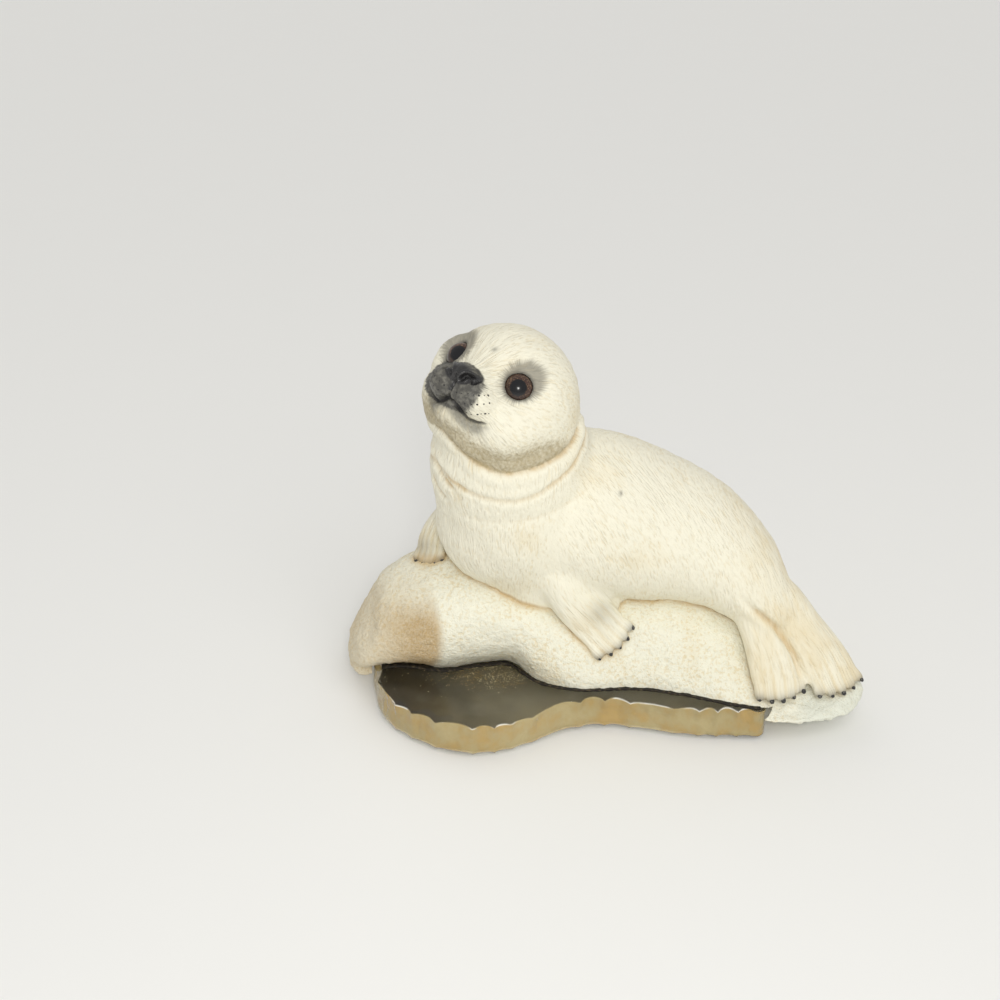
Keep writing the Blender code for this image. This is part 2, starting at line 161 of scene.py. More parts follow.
class Graph:
    """A node tree that is written as expressions on its sockets."""

    def __init__(self, tree: Any) -> None:
        """Takes the Blender node tree to write to."""
        self.tree = tree

    def feed(self, socket: Any, value: Any) -> None:
        """Links or sets one input.

        Args:
            socket: The input socket.
            value: A wire, an output socket, or a plain value.
        """
        if isinstance(value, Wire):
            self.tree.links.new(value.socket, socket)
        elif isinstance(value, bpy.types.NodeSocket):
            self.tree.links.new(value, socket)
        elif socket.type == "RGBA" and len(value) == 3:
            socket.default_value = (*value, 1.0)
        else:
            socket.default_value = value

    def node(self, kind: str, settings: dict | None = None, inputs: dict | None = None) -> Any:
        """Creates a node.

        Args:
            kind: The node's type.
            settings: Its own settings.
            inputs: Values or links by the name or number of the socket.

        Returns:
            The new node.
        """
        made = self.tree.nodes.new(kind)
        for name, value in (settings or {}).items():
            setattr(made, name, value)
        for name, value in (inputs or {}).items():
            self.feed(made.inputs[name], value)
        return made

    def maths(self, operation: str, *values: Any) -> Wire:
        """One Math node, as a wire."""
        made = self.node("ShaderNodeMath", {"operation": operation}, dict(enumerate(values)))
        return Wire(self, made.outputs[0])

    def vectors(self, operation: str, *values: Any) -> Any:
        """One Vector Math node.

        Args:
            operation: The node's operation.
            values: Its inputs in order.

        Returns:
            The vector, or the number for a dot product or a distance.
        """
        made = self.node("ShaderNodeVectorMath", {"operation": operation}, dict(enumerate(values)))
        number = operation in ("DOT_PRODUCT", "DISTANCE")
        return Wire(self, made.outputs["Value" if number else "Vector"])

    def step(self, value: Any, low: float, high: float) -> Wire:
        """A smooth rise from 0 at low to 1 at high, or a fall where low is the larger."""
        flip = low > high
        made = self.node(
            "ShaderNodeMapRange",
            {"interpolation_type": "SMOOTHSTEP"},
            {"Value": value, "From Min": min(low, high), "From Max": max(low, high)},
        )
        rise = Wire(self, made.outputs[0])
        return 1.0 - rise if flip else rise

    def noise(self, vector: Any, scale: float, detail: float = 2.0, roughness: float = 0.5) -> Wire:
        """Soft noise from 0 to 1.

        Args:
            vector: Where it is read.
            scale: Cells in a unit of the vector.
            detail: Finer layers.
            roughness: The strength of the finer layers.

        Returns:
            The noise value.
        """
        inputs = {"Vector": vector, "Scale": scale, "Detail": detail, "Roughness": roughness}
        return Wire(self, self.node("ShaderNodeTexNoise", {}, inputs).outputs[0])

    @staticmethod
    def blend(values: Sequence[Wire], weights: Sequence[Wire]) -> Wire:
        """The first value, with each later one laid over it by its weight."""
        blended = values[0]
        for value, weight in zip(values[1:], weights):
            blended = blended + (value - blended) * weight
        return blended

    def split(self, vector: Any) -> list[Wire]:
        """The three numbers of a vector."""
        parts = self.node("ShaderNodeSeparateXYZ", {}, {0: vector})
        return [Wire(self, parts.outputs[i]) for i in range(3)]

    def cells(self, vector: Any, scale: float) -> Wire:
        """The distance to the nearest of scattered points."""
        made = self.node("ShaderNodeTexVoronoi", {}, {"Vector": vector, "Scale": scale})
        return Wire(self, made.outputs["Distance"])


class Shader(Graph):
    """A material's node tree."""

    def __init__(self, name: str) -> None:
        """Starts an empty material."""
        self.material = bpy.data.materials.new(name)
        self.material.use_nodes = True
        self.material.node_tree.nodes.clear()
        super().__init__(self.material.node_tree)

    def place(self) -> Any:
        """The point of the surface in metres, in the object's own frame."""
        return Wire(self, self.node("ShaderNodeTexCoord").outputs["Object"])

    def painted(self, name: str) -> Wire:
        """A number that was painted on the mesh."""
        return Wire(self, self.node("ShaderNodeAttribute", {"attribute_name": name}).outputs["Fac"])

    def painted_vector(self, name: str) -> Wire:
        """A vector that was painted on the mesh."""
        return Wire(self, self.node("ShaderNodeAttribute", {"attribute_name": name}).outputs["Vector"])

    def mix(self, share: Any, first: Any, second: Any) -> Wire:
        """A blend of two colours.

        Args:
            share: How much of the second, from 0 to 1.
            first: A colour or a wire.
            second: A colour or a wire.

        Returns:
            The blended colour.
        """
        made = self.node("ShaderNodeMix", {"data_type": "RGBA"})
        for socket, value in ((0, share), (6, first), (7, second)):
            self.feed(made.inputs[socket], value)
        return Wire(self, made.outputs[2])

    def bump(self, height: Any, distance: float, strength: float = 1.0) -> Wire:
        """A bumped normal.

        Args:
            height: The height from 0 to 1.
            distance: How high 1 is, in metres.
            strength: The share of the effect.

        Returns:
            The normal.
        """
        inputs = {"Height": height, "Distance": distance, "Strength": strength}
        return Wire(self, self.node("ShaderNodeBump", {}, inputs).outputs[0])

    def surface(self, **inputs: Any) -> Any:
        """A Principled shader, with socket names written with underscores."""
        named = {name.replace("_", " "): value for name, value in inputs.items()}
        return self.node("ShaderNodeBsdfPrincipled", {}, named).outputs[0]

    def done(self, shader: Any) -> Any:
        """Ends the material with a shader.

        Args:
            shader: The shader output.

        Returns:
            The material.
        """
        self.node("ShaderNodeOutputMaterial", {}, {"Surface": shader})
        return self.material


class Grower(Graph):
    """A Geometry Nodes tree with named inputs, which is run once and leaves a plain mesh."""

    def __init__(self, name: str, inputs: dict[str, float]) -> None:
        """Starts a tree with a geometry input and named numbers."""
        tree = bpy.data.node_groups.new(name, "GeometryNodeTree")
        super().__init__(tree)
        for way in ("INPUT", "OUTPUT"):
            tree.interface.new_socket("Geometry", in_out=way, socket_type="NodeSocketGeometry")
        for label in inputs:
            tree.interface.new_socket(label, in_out="INPUT", socket_type="NodeSocketFloat")
        self.values = inputs
        self.entry = self.node("NodeGroupInput")
        self.exit = self.node("NodeGroupOutput")

    def given(self, name: str) -> Wire:
        """One of the named inputs."""
        return Wire(self, self.entry.outputs[name])

    def attribute(self, name: str, kind: str = "FLOAT") -> Wire:
        """A named attribute of the geometry."""
        made = self.node("GeometryNodeInputNamedAttribute", {"data_type": kind}, {"Name": name})
        return Wire(self, made.outputs[0])

    def displace(self, height: Wire) -> None:
        """Moves every point along its normal and ends the tree."""
        normal = Wire(self, self.node("GeometryNodeInputNormal").outputs[0])
        push = self.node("ShaderNodeVectorMath", {"operation": "SCALE"}, {0: normal, "Scale": height})
        moved = self.node(
            "GeometryNodeSetPosition", {}, {"Geometry": self.entry.outputs[0], "Offset": push.outputs[0]}
        )
        self.feed(self.exit.inputs[0], moved.outputs[0])

    def run(self, thing: Any) -> Any:
        """Runs the tree on an object.

        Args:
            thing: The mesh object, which is replaced.

        Returns:
            A new object with the result as its plain mesh.
        """
        modifier = thing.modifiers.new(self.tree.name, "NODES")
        modifier.node_group = self.tree
        for item in self.tree.interface.items_tree:
            if item.in_out == "INPUT" and item.name in self.values:
                modifier[item.identifier] = self.values[item.name]
        return Clay.bake(thing.name, thing)


class Stamper(Grower):
    """Sets a small rounded form on each of a row of points, aimed along a stored direction."""

    def __init__(self, name: str, width: float, depth: float, length: float, material: Any) -> None:
        """Builds the tree.

        Args:
            name: The tree's name.
            width: The form's size across, in metres.
            depth: Its size the other way across.
            length: Its size along its aim.
            material: Its material.
        """
        super().__init__(name, {"Width": width, "Depth": depth, "Length": length})
        form = self.node("GeometryNodeMeshIcoSphere", {}, {"Radius": 0.5, "Subdivisions": 2})
        aim = self.attribute("aim", "FLOAT_VECTOR")
        turn = self.node("FunctionNodeAlignRotationToVector", {"axis": "Z"}, {"Vector": aim})
        size = self.attribute("size")
        sides = [self.given(side) * size for side in ("Width", "Depth", "Length")]
        scale = self.node("ShaderNodeCombineXYZ", {}, dict(enumerate(sides)))
        placed = self.node("GeometryNodeInstanceOnPoints", {}, {
            "Points": self.entry.outputs[0], "Instance": form.outputs[0],
            "Rotation": turn.outputs[0], "Scale": scale.outputs[0],
        })
        real = self.node("GeometryNodeRealizeInstances", {}, {"Geometry": placed.outputs[0]})
        dressed = self.node(
            "GeometryNodeSetMaterial", {}, {"Geometry": real.outputs[0], "Material": material}
        )
        self.feed(self.exit.inputs[0], dressed.outputs[0])

    def stamp(self, name: str, places: Sequence[Any], aims: Sequence[Any], sizes: Sequence[float]) -> Any:
        """Makes the row of forms.

        Args:
            name: The new object's name.
            places: Where each form sits, in metres.
            aims: The direction of each.
            sizes: The share of the full size of each.

        Returns:
            The new object.
        """
        mesh = bpy.data.meshes.new(name)
        mesh.from_pydata([tuple(p) for p in places], [], [])
        thing = Clay.link(name, mesh)
        Clay.paint(thing, "aim", np.array([tuple(a) for a in aims]))
        Clay.paint(thing, "size", np.array(sizes, float))
        return self.run(thing)


# How far out the rings of a limb's round ends lie, as shares of its radius
CAP_STEPS = (0.97, 0.87, 0.7, 0.47, 0.2)


class Clay:
    """Lumps and tubes of clay that are fused into one skin, and the tools that press it."""

    @staticmethod
    def through(points: Any, per_span: int = 6, closed: bool = False) -> Points:
        """Points read from a smooth curve.

        Args:
            points: The points that it runs through, one a row.
            per_span: Steps between two of them.
            closed: Whether it returns to its start.

        Returns:
            The points of the curve.
        """
        rows = np.asarray(points, float)
        count = len(rows)
        found = []
        for i in range(count if closed else count - 1):
            near = [(i + k) % count if closed else min(max(i + k, 0), count - 1) for k in (-1, 0, 1, 2)]
            a, b, c, d = (rows[k] for k in near)
            for t in np.arange(per_span) / per_span:
                square = (2 * a - 5 * b + 4 * c - d) * t**2
                found.append(0.5 * (2 * b + (c - a) * t + square + (3 * b - a - 3 * c + d) * t**3))
        if not closed:
            found.append(rows[-1])
        return np.array(found)

    @staticmethod
    def link(name: str, mesh: Any) -> Any:
        """Links an object that owns a mesh."""
        made = bpy.data.objects.new(name, mesh)
        bpy.context.scene.collection.objects.link(made)
        return made

    @staticmethod
    def from_bmesh(name: str, bm: Any) -> Any:
        """A linked object with the mesh of a bmesh, its faces turned outwards."""
        bmesh.ops.recalc_face_normals(bm, faces=bm.faces)
        mesh = bpy.data.meshes.new(name)
        bm.to_mesh(mesh)
        bm.free()
        return Clay.link(name, mesh)

    @staticmethod
    def skin(name: str, rings: Sequence[Any], flat_ends: bool = False) -> Any:
        """A closed solid through rings of points.

        Args:
            name: Its name.
            rings: Rings with the same number of points.
            flat_ends: Whether each end is one flat face, and not a fan.

        Returns:
            The new object.
        """
        bm = bmesh.new()
        loops = [[bm.verts.new(p) for p in ring] for ring in rings]
        count = len(loops[0])
        for lower, upper in zip(loops, loops[1:]):
            for i in range(count):
                j = (i + 1) % count
                bm.faces.new((lower[i], lower[j], upper[j], upper[i]))
        for loop in (loops[0], loops[-1]):
            if flat_ends:
                bm.faces.new(loop)
                continue
            pole = bm.verts.new(sum((v.co for v in loop), Vector()) / count)
            for i in range(count):
                bm.faces.new((loop[i], loop[(i + 1) % count], pole))
        return Clay.from_bmesh(name, bm)

    @staticmethod
    def limb(name: str, stations: Sequence[Any], side: Any, points: int = 48) -> Any:
        """A round-ended tube through elliptical rings.

        Args:
            name: Its name.
            stations: The rings, above the casting's base.
            side: The direction of each ring's wider half size.
            points: Points round a ring.

        Returns:
            The new object.
        """
        path = Clay.through([tuple(s) for s in stations]) * MM
        centres, sizes = path[:, :3] + (0, 0, CASTING_BASE * MM), path[:, 3:]
        along = np.gradient(centres, axis=0)
        along /= np.linalg.norm(along, axis=1)[:, None]
        angles = np.linspace(0, 2 * math.pi, points, endpoint=False)
        rings = []

        def add(centre: Points, tangent: Points, size: Points) -> None:
            """Adds one ring."""
            v = np.array(side) - np.dot(side, tangent) * tangent
            v /= np.linalg.norm(v)
            w = np.cross(tangent, v)
            rings.append([centre + size[0] * math.cos(a) * v + size[1] * math.sin(a) * w for a in angles])

        for s in CAP_STEPS:
            add(centres[0] - along[0] * sizes[0, 1] * s, along[0], sizes[0] * math.sqrt(1 - s * s))
        for centre, tangent, size in zip(centres, along, sizes):
            add(centre, tangent, size)
        for s in reversed(CAP_STEPS):
            add(centres[-1] + along[-1] * sizes[-1, 1] * s, along[-1], sizes[-1] * math.sqrt(1 - s * s))
        return Clay.skin(name, rings)

    @staticmethod
    def lump(name: str, placing: Matrix, radii: Sequence[float]) -> Any:
        """An ellipsoid with the given radii along the axes of a placing matrix."""
        bm = bmesh.new()
        bmesh.ops.create_icosphere(bm, subdivisions=4, radius=1.0)
        bm.transform(placing @ Matrix.Diagonal((*radii, 1.0)))
        return Clay.from_bmesh(name, bm)

    @staticmethod
    def bake(name: str, source: Any) -> Any:
        """A plain object with the evaluated mesh of source, which is removed."""
        graph = bpy.context.evaluated_depsgraph_get()
        mesh = bpy.data.meshes.new_from_object(source.evaluated_get(graph))
        bpy.data.objects.remove(source)
        return Clay.link(name, mesh)

    @staticmethod
    def join(name: str, parts: Sequence[Any]) -> Any:
        """One object that holds the meshes of several."""
        bm = bmesh.new()
        for part in parts:
            bm.from_mesh(part.data)
            bpy.data.objects.remove(part)
        mesh = bpy.data.meshes.new(name)
        bm.to_mesh(mesh)
        bm.free()
        return Clay.link(name, mesh)

    @staticmethod
    def fuse(name: str, lumps: Sequence[Any], voxel: float, rounds: int) -> Any:
        """One skin round overlapping lumps.

        Args:
            name: The skin's name.
            lumps: The lumps, which are used up.
            voxel: The size of its faces, in metres.
            rounds: How often it is smoothed, so that joins blend.

        Returns:
            The new object.
        """
        clay = Clay.join(name, lumps)
        remesh = clay.modifiers.new("skin", "REMESH")
        remesh.mode = "VOXEL"
        remesh.voxel_size = voxel
        soften = clay.modifiers.new("soften", "SMOOTH")
        soften.factor = 0.5
        soften.iterations = rounds
        return Clay.bake(name, clay)

    @staticmethod
    def read(thing: Any, what: str = "co") -> Points:
        """The places or normals of an object's points as an array."""
        flat = np.empty(len(thing.data.vertices) * 3)
        thing.data.vertices.foreach_get(what, flat)
        return flat.reshape(-1, 3)

    @staticmethod
    def write(thing: Any, points: Points) -> None:
        """Moves an object's points to the rows of an array."""
        thing.data.vertices.foreach_set("co", points.ravel())
        thing.data.update()

    @staticmethod
    def push(thing: Any, amount: Points) -> None:
        """Moves each point along its normal by its own amount, in metres."""
        Clay.write(thing, Clay.read(thing) + Clay.read(thing, "normal") * amount[:, None])

    @staticmethod
    def paint(thing: Any, name: str, values: Points) -> None:
        """Stores a number or a vector for each point.

        Args:
            thing: The mesh object.
            name: The attribute's name.
            values: One row a point.
        """
        vector = values.ndim == 2
        layer = thing.data.attributes.new(name, "FLOAT_VECTOR" if vector else "FLOAT", "POINT")
        layer.data.foreach_set("vector" if vector else "value", values.astype(np.float32).ravel())

    @staticmethod
    def distance(points: Points, line: Points) -> tuple[Points, Points]:
        """How far points lie from a row of points.

        Args:
            points: The points asked about.
            line: The row.

        Returns:
            The distances, and the share along the row of the nearest.
        """
        best = np.full(len(points), np.inf)
        where = np.zeros(len(points))
        for i, at in enumerate(line):
            away = np.linalg.norm(points - at, axis=1)
            closer = away < best
            best[closer] = away[closer]
            where[closer] = i / max(len(line) - 1, 1)
        return best, where

    @staticmethod
    def carve(thing: Any, cutters: Sequence[Any]) -> Any:
        """Cuts helpers out of a solid and removes them."""
        for cutter in cutters:
            cut = thing.modifiers.new(cutter.name, "BOOLEAN")
            cut.operation = "DIFFERENCE"
            cut.object = cutter
        made = Clay.bake(thing.name, thing)
        for cutter in cutters:
            bpy.data.objects.remove(cutter)
        return made

    @staticmethod
    def along(share: Points, values: Points) -> Points:
        """Values of a line's points, read at shares of its length."""
        return np.interp(share, np.linspace(0, 1, len(values)), values)

    @staticmethod
    @contextmanager
    def opened(thing: Any) -> Iterator[Any]:
        """Opens an object's mesh as a bmesh, and writes it back after the edit."""
        bm = bmesh.new()
        bm.from_mesh(thing.data)
        bm.verts.ensure_lookup_table()
        yield bm
        bm.to_mesh(thing.data)
        bm.free()

    @staticmethod
    def refine(thing: Any, chosen: Points) -> None:
        """Splits the faces whose points are all chosen."""
        with Clay.opened(thing) as bm:
            edges = [e for e in bm.edges if chosen[e.verts[0].index] and chosen[e.verts[1].index]]
            bmesh.ops.subdivide_edges(bm, edges=edges, cuts=1, use_grid_fill=True, smooth=0.5)
            bmesh.ops.triangulate(bm, faces=[f for f in bm.faces if len(f.verts) > 4])

    @staticmethod
    def even(thing: Any, chosen: Points, rounds: int) -> None:
        """Smooths the chosen points a number of times."""
        axes = {f"use_axis_{axis}": True for axis in "xyz"}
        with Clay.opened(thing) as bm:
            near = [v for v in bm.verts if chosen[v.index]]
            for _ in range(rounds):
                bmesh.ops.smooth_vert(bm, verts=near, factor=0.5, **axes)

    @staticmethod
    def tree(thing: Any) -> BVHTree:
        """A search tree of an object's faces."""
        bm = bmesh.new()
        bm.from_mesh(thing.data)
        found = BVHTree.FromBMesh(bm)
        bm.free()
        return found

    @staticmethod
    def paint_contact(thing: Any, other: Any, reach: float, ceiling: float = math.inf) -> None:
        """Paints how near each point lies to another object: the mask of the ochre painted shade where the
        two touch.

        Args:
            thing: The object that is painted.
            other: The object that it touches.
            reach: How far the paint runs, in millimetres.
            ceiling: The height that it stays under, in metres.
        """
        tree = Clay.tree(other)
        away = [tree.find_nearest(v.co)[3] if v.co.z <= ceiling else 1.0 for v in thing.data.vertices]
        Clay.paint(thing, "contact_shade", bell(np.array(away) / MM, reach))


def fit(thing: Any, material: Any, slot: Slot, stands_for: Sequence[str] = ()) -> Any:
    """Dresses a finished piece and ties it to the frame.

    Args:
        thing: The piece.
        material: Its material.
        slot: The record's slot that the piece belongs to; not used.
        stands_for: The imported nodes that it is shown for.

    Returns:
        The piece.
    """
    thing.data.materials.clear()
    thing.data.materials.append(material)
    thing.data.shade_smooth()
    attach(thing, BODY)
    if stands_for:
        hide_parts(*stands_for)
    LOG.info("%s: %d faces", thing.name, len(thing.data.polygons))
    return thing


# The stack, from the surface it stands on
PAD_THICKNESS = 0.9
GLUE_LINE = 0.3
SLAB_THICKNESS = 9.3
SLAB_BOTTOM = PAD_THICKNESS + GLUE_LINE
SLAB_TOP = SLAB_BOTTOM + SLAB_THICKNESS
CASTING_BASE = SLAB_TOP + GLUE_LINE

# The slab's outline from its left end round the front to its back, and its chipped edge
SLAB_OUTLINE = (
    (-72.5, -4), (-71.5, -14), (-68, -26), (-61.5, -34), (-53, -40), (-43, -43.6),
    (-31.5, -42.2), (-20.5, -36.8), (-11, -31.8), (0, -30), (12, -32), (26, -35), (38, -35.4),
    (44.5, -35.2), (47.3, -32), (47, -22), (44.5, -8), (42, 8), (36, 20), (22, 29), (4, 34), (-16, 36),
    (-36, 36), (-54, 31), (-66, 20), (-72, 8),
)
CHIP_PITCH = 9.0
CHIP_DEPTH = 2.6
EDGE_ROUND = 1.1


class Ring(NamedTuple):
    """A cross-section of a limb or body: its centre and half sizes, above the casting's base."""

    x: float
    y: float
    z: float
    across: float
    deep: float


class Bank(NamedTuple):
    """A cross-section of the snow bank, above the casting's base."""

    x: float
    foot: float
    bulge: float
    bulge_z: float
    brow: float
    brow_z: float
    crown_z: float
    back: float
    base_z: float


class Flipper(NamedTuple):
    """A flipper: its rings, and the direction across it."""

    rings: tuple[Ring, ...]
    side: tuple[float, float, float]


class Crease(NamedTuple):
    """A fold of the skin: points on it, its depth and half width, and whether it closes."""

    points: tuple[tuple[float, float, float], ...]
    depth: float
    width: float
    closed: bool


@dataclass
class Head:
    """The head: where it sits, its own axes, and the lumps that it is built from."""

    centre: tuple[float, float, float] = (-31.9, 0.5, 85.5)
    yaw: float = 37.7
    pitch: float = 39.3
    roll: float = -8.7
    skull: tuple[float, float, float] = (22.3, 22.4, 22.5)
    eye_radius: float = 4.4
    eye_seat: tuple[float, float, float] = (12.1, 11.0, 4.6)
    orbit_depth: float = 3.6
    orbit_width: float = 6.5
    orbit_reach: float = 6.0
    orbit_axis: tuple[float, float, float] = (0.93, 0.32, 0.18)
    mouth: tuple[tuple[float, float], ...] = (
        (0, -7.4), (2.5, -8.3), (4.4, -9.2), (6.6, -9.8), (8.4, -9.6), (10.2, -8.9), (12.6, -7.8),
    )
    nostril: tuple[tuple[float, float], ...] = (
        (2.2, -0.9), (2.9, 0.3), (4.0, 0.8), (5.0, 0.4), (5.4, -0.5),
    )
    nose_plate: tuple[float, float, float, float] = (0.2, 0.5, 5.6, 3.3)
    septum: tuple[tuple[float, float], ...] = ((0.2, -0.8), (0.2, -3.4), (0, -7.2))
    mouth_form: tuple[Press, ...] = (Press(-1.1, 0.45), Press(-0.3, 1.5), Press(0.3, 0.8, 1.7))
    nostril_form: tuple[Press, ...] = (Press(-1.25, 0.5), Press(0.42, 0.45, 1.15))
    septum_form: tuple[Press, ...] = (Press(-0.7, 0.45), Press(0.28, 0.4, 1.0))
    lid_form: tuple[Press, ...] = (Press(0.26, 0.6, 0.6), Press(-0.14, 0.6, 1.9))
    lid_width: float = 1.6
    whiskers: tuple[tuple[int, tuple[tuple[float, float, float], ...]], ...] = (
        (7, ((24.7, 2.5, -5.0), (25.2, 6.4, -3.9), (23.7, 8.7, -2.7), (21.2, 9.6, -1.4))),
        (6, ((23.6, 4.2, -6.8), (23.7, 7.6, -6.0), (22.8, 9.5, -4.8), (20.5, 10.8, -3.0))),
        (6, ((20.9, 5.9, -8.5), (20.3, 8.6, -7.3), (19.8, 9.9, -6.5), (18.6, 11.1, -5.6))),
    )

    def axes(self) -> tuple[Vector, Vector, Vector]:
        """The head's forward, left and upward directions."""
        yaw, pitch, roll = (math.radians(a) for a in (self.yaw, self.pitch, self.roll))
        forward = Vector((
            -math.sin(yaw) * math.cos(pitch), -math.cos(yaw) * math.cos(pitch), math.sin(pitch)
        ))
        level = Vector((0, 0, 1)).cross(forward).normalized()
        left = math.cos(roll) * level + math.sin(roll) * forward.cross(level)
        return forward, left, forward.cross(left)

    def matrix(self) -> Matrix:
        """From the head's millimetres, in its own axes, to the model's metres."""
        turn = Matrix(self.axes()).transposed().to_4x4()
        place = Vector(self.centre) * MM + Vector((0, 0, CASTING_BASE * MM))
        return Matrix.Translation(place) @ turn @ Matrix.Diagonal((MM, MM, MM, 1.0))

    def local(self, points: Points) -> Points:
        """Model points in the head's own millimetres: forward, left, up."""
        inverse = np.array(self.matrix().inverted())
        return points @ inverse[:3, :3].T + inverse[:3, 3]

    def lump(self, name: str, at: Sequence[float], radii: Sequence[float]) -> Any:
        """An ellipsoid of the head."""
        return Clay.lump(name, self.matrix() @ Matrix.Translation(at), radii)

    def eye_at(self, side: int, ahead: float = 1.0) -> Vector:
        """The middle of an eye, or a point a share further forward."""
        forward, left, up = self.eye_seat
        return self.matrix() @ Vector((forward * ahead, left * side, up))

    def build(self, voxel: float, rounds: int) -> Any:
        """The head's skin before its features are pressed in.

        Args:
            voxel: The size of its faces, in metres.
            rounds: How often it is smoothed.

        Returns:
            The new object.
        """
        lumps = [
            self.lump("skull", (-0.6, 0, 0), self.skull),
            self.lump("snout", (11.5, 0, -3), (11, 12.5, 9.5)),
            self.lump("bridge", (15, 0, 1.6), (8.5, 6.0, 5.0)),
            self.lump("column", (20, 0, -3.5), (5.2, 4, 5.2)),
            self.lump("nose", (23.0, 0, 0.6), (3.6, 4.6, 3.0)),
            self.lump("chin", (13.4, 0, -10.4), (8.4, 9, 4.8)),
            self.lump("brow", (6.0, -15.8, 2.6), (8.0, 6.6, 9.6)),
        ]
        for side in (1, -1):
            lumps.append(self.lump("cheek", (4, side * 8, -4.6), (14.4, 13, 12.6)))
            lumps.append(self.lump("whisker_pad", (17.8, side * 5.2, -3.5), (8, 6.6, 5.2)))
            lumps.append(self.lump("tear_ridge", (16.4, side * 7.4, 1.2), (4.4, 3.4, 2.6)))
        return Clay.fuse("head", lumps, voxel, rounds)

    def press_orbits(self, thing: Any) -> None:
        """Presses the shallow hollow that each eye sits in."""
        points = Clay.read(thing)
        ahead, aside, upward = self.orbit_axis
        turn = Matrix(self.axes()).transposed()
        for side in (1, -1):
            axis = np.array(turn @ Vector((ahead, aside * side, upward)))
            off = points - np.array(self.eye_at(side, 1.1))
            along = off @ axis
            far = np.linalg.norm(off - along[:, None] * axis, axis=1) / MM
            pull = self.orbit_depth * MM * bell(far, self.orbit_width) * (along > -self.orbit_reach * MM)
            points -= pull[:, None] * axis
        Clay.write(thing, points)

    def mouth_line(self) -> Points:
        """The line of the mouth, left and up, from the right corner to the left."""
        line = Clay.through(self.mouth, 8)
        return np.concatenate([line[::-1] * (-1, 1), line[1:]])

    def press_mouth(self, thing: Any) -> None:
        """Presses the line of the mouth, and paints the line and the lower lip."""
        local = self.local(Clay.read(thing))
        line = self.mouth_line()
        away, share = Clay.distance(local[:, 1:], line)
        below = Clay.along(share, line[:, 1]) - local[:, 2]
        front = ramp(local[:, 0], 8, 11) * ramp(np.abs(local[:, 1]), 13.4, 8.9)
        Clay.push(thing, relief(away, self.mouth_form) * front * MM)
        Clay.paint(thing, "mouth", bell(away, 0.52) * front)
        Clay.paint(thing, "lip", ramp(below, 0, 0.8) * ramp(away, 4.32, 0.72) * front)

    def press_nose(self, thing: Any) -> None:
        """Presses the nostrils and the groove under the nose, and paints the bare leather."""
        local = self.local(Clay.read(thing))
        front = ramp(local[:, 0], 19, 21)
        flat = local[:, 1:]
        groove, _ = Clay.distance(flat, Clay.through(self.septum, 10))
        amount = relief(groove, self.septum_form)
        for side in (1, -1):
            away, _ = Clay.distance(flat, Clay.through(self.nostril, 6) * (side, 1))
            amount += relief(away, self.nostril_form)
        Clay.push(thing, amount * front * MM)
        left, up, wide, high = self.nose_plate
        reach = np.hypot((flat[:, 0] - left) / wide, (flat[:, 1] - up) / high)
        wet = np.maximum(ramp(reach, 1.12, 0.92), bell(groove, 0.9) * (flat[:, 1] > -5.5))
        Clay.paint(thing, "leather", wet * front)

    def whisker_spots(self) -> list[Vector]:
        """Where the whiskers' marks lie, in metres, near the skin."""
        spots = []
        for count, row in self.whiskers:
            line = Clay.through(row, 12)
            for i in range(count):
                at = line[round(i / (count - 1) * (len(line) - 1))]
                spots += [self.matrix() @ Vector(at * (1, side, 1)) for side in (1, -1)]
        return spots

    def outside_eyes(self, points: Points) -> list[Points]:
        """How far points in metres lie outside the glass of each eye, in millimetres."""
        centres = [np.array(self.eye_at(side)) for side in (1, -1)]
        return [np.linalg.norm(points - centre, axis=1) / MM - self.eye_radius for centre in centres]

    def press_lids(self, thing: Any) -> None:
        """Raises the rim of the lids round each eye, with a fine groove outside it, and evens it."""
        amount = sum(relief(away, self.lid_form) for away in self.outside_eyes(Clay.read(thing)))
        Clay.push(thing, amount * MM)
        Clay.even(thing, np.minimum(*self.outside_eyes(Clay.read(thing))) < self.lid_width, 4)


HEAD = Head()


# The attributes with the fur's directions, and with how far each of the last three holds
FUR_FLOWS = ("fur_body", "fur_chest", "fur_head", "fur_limb")
FUR_SHARES = ("on_chest", "on_head", "on_limb")


